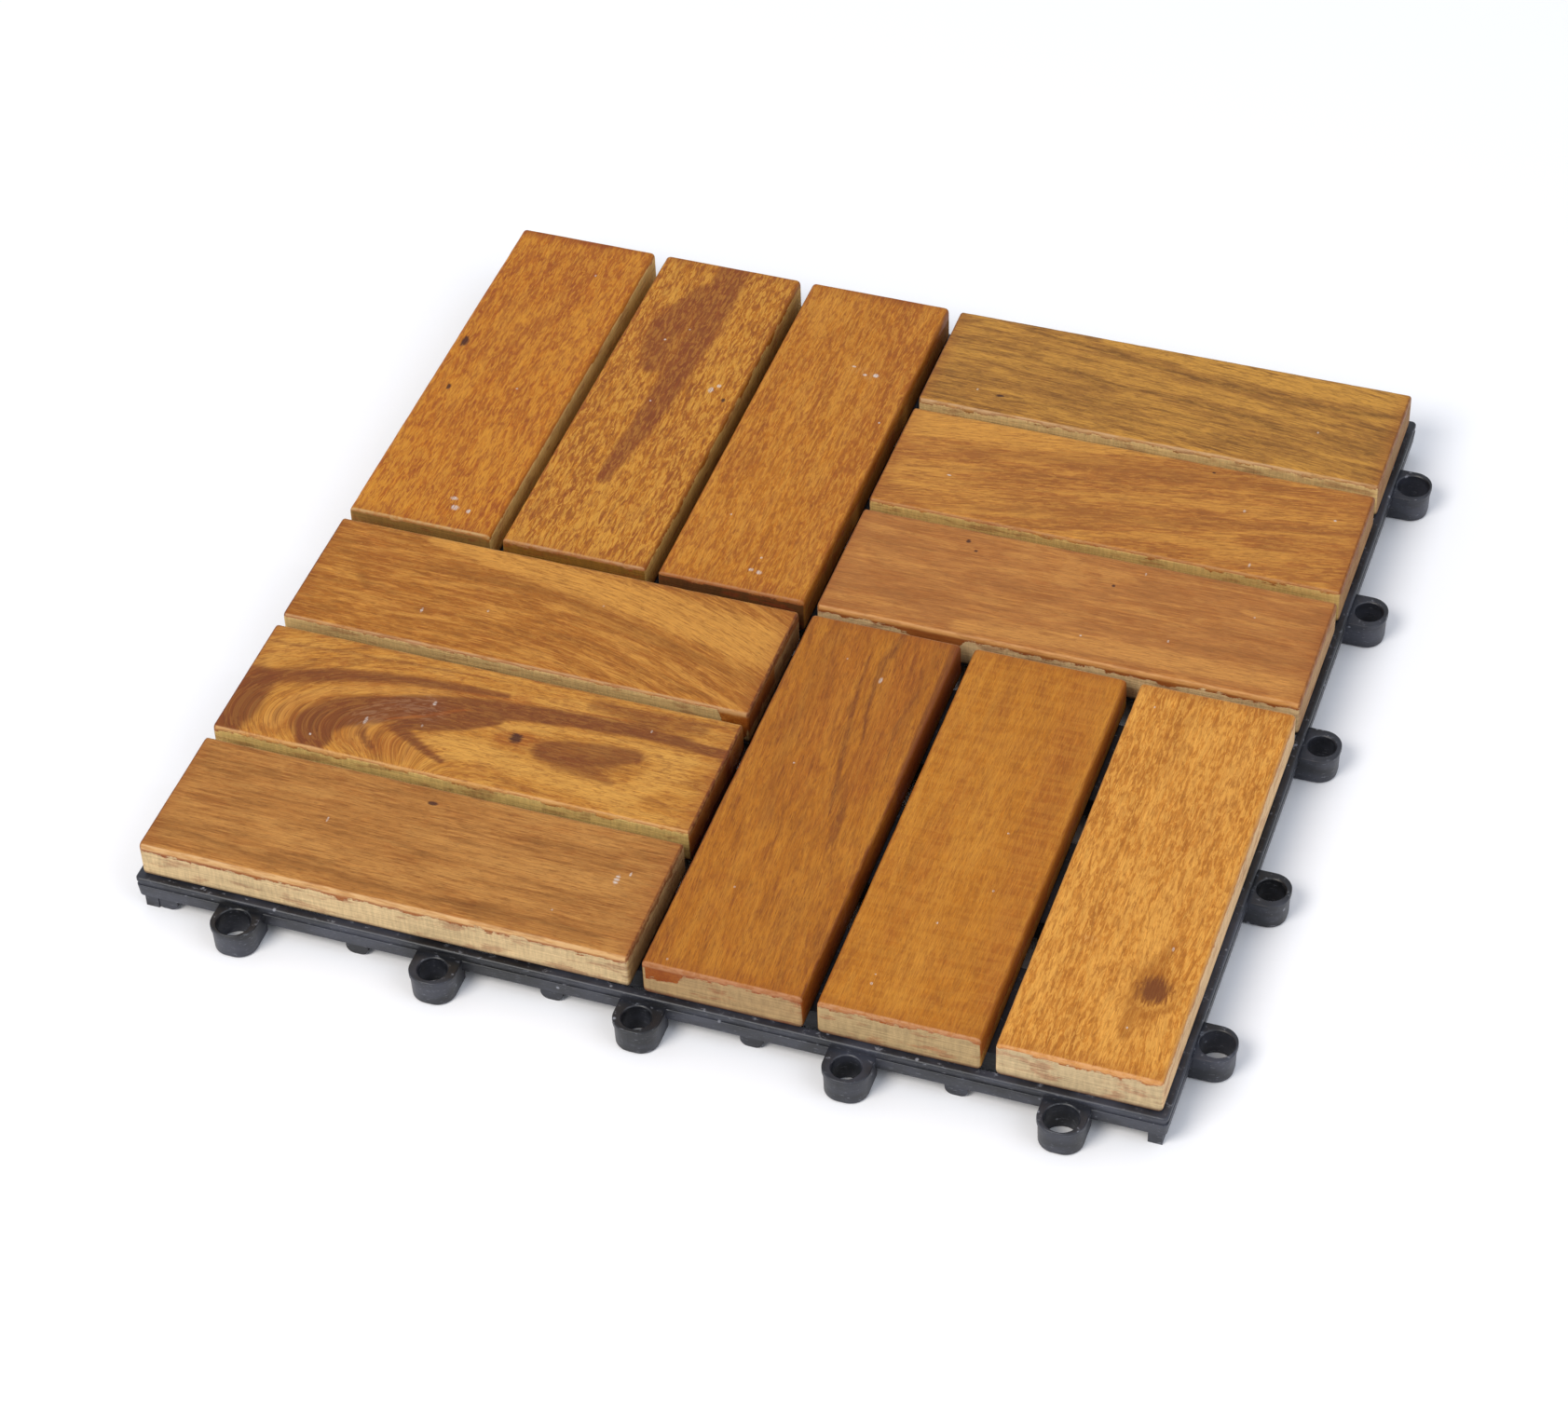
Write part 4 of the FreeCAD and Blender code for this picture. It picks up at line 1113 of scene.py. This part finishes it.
def makeScrewTree():
    tree, given = startTree("wood screw", (*screwShape, "length"))
    headSides = screwDetail["headSides"]
    shankSides = screwDetail["shankSides"]

    def raised(geometry, z, **more):
        return addNode(tree, "GeometryNodeTransform", {
            "Geometry": geometry, "Translation": combine(tree, 0.0, 0.0, z), **more}).outputs[0]

    def scaled(size, factor):
        return calc(tree, "MULTIPLY", size, factor)

    # the head: a short drum with a domed crown below it, and a cross cut into the crown
    drum = addNode(tree, "GeometryNodeMeshCylinder", {
        "Vertices": headSides, "Radius": given["headRadius"], "Depth": given["headEdge"]}).outputs["Mesh"]
    drum = raised(drum, scaled(given["headEdge"], -0.5))
    ball = addNode(tree, "GeometryNodeMeshUVSphere", {
        "Segments": headSides, "Rings": headSides // 2, "Radius": given["headRadius"]}).outputs["Mesh"]
    crownHeight = calc(tree, "SUBTRACT", given["headHeight"], given["headEdge"])
    flatness = calc(tree, "DIVIDE", crownHeight, given["headRadius"])
    dome = raised(ball, scaled(given["headEdge"], -1.0), Scale=combine(tree, 1.0, 1.0, flatness))
    shankLength = calc(tree, "SUBTRACT", given["length"], given["tipLength"])
    shank = addNode(tree, "GeometryNodeMeshCylinder", {
        "Vertices": shankSides, "Radius": given["shankRadius"], "Depth": shankLength}).outputs["Mesh"]
    shank = raised(shank, scaled(shankLength, 0.5))
    tip = addNode(tree, "GeometryNodeMeshCone", {
        "Vertices": shankSides, "Radius Top": 0.0, "Radius Bottom": given["shankRadius"],
        "Depth": given["tipLength"]}).outputs["Mesh"]
    tip = raised(tip, shankLength)
    solid = addNode(tree, "GeometryNodeMeshBoolean", operation="UNION")
    for part in (drum, dome, shank, tip):
        tree.links.new(part, solid.inputs[1])
    carved = addNode(tree, "GeometryNodeMeshBoolean", {0: solid.outputs[0]}, operation="DIFFERENCE")
    for spanX, spanY in (("crossSpan", "crossWidth"), ("crossWidth", "crossSpan")):
        size = combine(tree, given[spanX], given[spanY], scaled(given["crossDepth"], 2.0))
        bar = addNode(tree, "GeometryNodeMeshCube", {"Size": size}).outputs["Mesh"]
        tree.links.new(raised(bar, scaled(given["headHeight"], -1.0)), carved.inputs[1])

    # the thread: a thin wedge swept up a helix
    threadLength = scaled(shankLength, screwDetail["threadShare"])
    helix = addNode(tree, "GeometryNodeCurveSpiral", {
        "Resolution": shankSides, "Rotations": calc(tree, "DIVIDE", threadLength, given["threadPitch"]),
        "Start Radius": given["shankRadius"], "End Radius": given["shankRadius"], "Height": threadLength,
    }).outputs[0]
    ridge = calc(tree, "SUBTRACT", given["threadRadius"], given["shankRadius"])
    profile = addNode(tree, "GeometryNodeCurvePrimitiveCircle", {
        "Resolution": screwDetail["threadSides"], "Radius": ridge}).outputs[0]
    thread = addNode(tree, "GeometryNodeCurveToMesh", {
        "Curve": helix, "Profile Curve": profile, "Fill Caps": True}).outputs[0]
    whole = addNode(tree, "GeometryNodeJoinGeometry")
    tree.links.new(carved.outputs[0], whole.inputs[0])
    tree.links.new(raised(thread, scaled(shankLength, screwDetail["threadStart"])), whole.inputs[0])
    placed = addNode(tree, "GeometryNodeInstanceOnPoints", {
        "Points": given["geometry"], "Instance": whole.outputs[0]})
    return endTree(tree, placed.outputs[0], given["finish"])


def makeSteel(finish):
    material, tree, surface = newMaterial("screw steel")
    place = objectPlace(tree)
    brushed = finishNoise(tree, place, finish["brushed"])
    spots = finishNoise(tree, place, finish["spots"])
    colour = mixColour(
        tree, smoothRange(tree, spots, 0.4, 0.7), shade(*finish["bright"]), shade(*finish["dull"]))
    tree.links.new(colour, surface.inputs["Base Color"])
    surface.inputs["Metallic"].default_value = 1.0
    tree.links.new(calc(tree, "MULTIPLY_ADD", brushed, 0.25, 0.24), surface.inputs["Roughness"])
    addBump(tree, surface, brushed, finish["bump"], finish["bumpDepth"])
    return material


screwLow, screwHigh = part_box("slat_screws")
screwSeat = screwLow.z + screwShape["headHeight"] * millimetre
screwReach = screwDetail["fromMiddle"] * millimetre
screwPoints = []
for node in slatLooks:
    low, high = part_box(node)
    middle = (low + high) / 2
    step = Vector((screwReach, 0, 0)) if high.x - low.x > high.y - low.y else Vector((0, screwReach, 0))
    for spot in (middle - step, middle + step):
        screwPoints.append((spot.x, spot.y, screwSeat))
screwValues = {key: value * millimetre for key, value in screwShape.items()}
screwValues["length"] = screwHigh.z - screwSeat
screwValues["finish"] = makeSteel(steelFinish)
screws = growPiece("wood_screws", makeScrewTree(), screwValues, screwPoints)
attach(screws, "root")
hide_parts("slat_screws")
print("screws placed:", len(screwPoints))


# Pale floor and soft studio light
studio = {
    "floor": (246, 246, 248),
    "floorSize": 8.0,
    "floorRoughness": 0.7,
    "sky": (236, 241, 250),
    "skyStrength": 0.75,
    "key": {"place": (-0.9, -1.9, 2.3), "size": 1.5, "power": 62, "colour": (255, 250, 242)},
    "fill": {"place": (1.9, -0.6, 1.8), "size": 1.8, "power": 14, "colour": (238, 244, 255)},
}


def makeFloor(look):
    half = look["floorSize"] / 2
    corners = [(-half, -half, 0), (half, -half, 0), (half, half, 0), (-half, half, 0)]
    mesh = bpy.data.meshes.new("floor")
    mesh.from_pydata(corners, [], [(0, 1, 2, 3)])
    floor = bpy.data.objects.new("floor", mesh)
    material, _, surface = newMaterial("pale floor")
    surface.inputs["Base Color"].default_value = shade(*look["floor"])
    surface.inputs["Roughness"].default_value = look["floorRoughness"]
    mesh.materials.append(material)
    bpy.context.scene.collection.objects.link(floor)


def makeLamp(name, look):
    lamp = bpy.data.lights.new(name, "AREA")
    lamp.shape = "DISK"
    lamp.size = look["size"]
    lamp.energy = look["power"]
    lamp.color = shade(*look["colour"])[:3]
    holder = bpy.data.objects.new(name, lamp)
    holder.location = look["place"]
    holder.rotation_euler = Vector(look["place"]).to_track_quat("Z", "Y").to_euler()
    bpy.context.scene.collection.objects.link(holder)


def makeSky(look):
    world = bpy.data.worlds.new("studio")
    world.use_nodes = True
    background = world.node_tree.nodes["Background"]
    background.inputs["Color"].default_value = shade(*look["sky"])
    background.inputs["Strength"].default_value = look["skyStrength"]
    bpy.context.scene.world = world
    bpy.context.scene.view_settings.view_transform = "Standard"


makeFloor(studio)
makeLamp("key light", studio["key"])
makeLamp("fill light", studio["fill"])
makeSky(studio)
print("floor and lights in place")
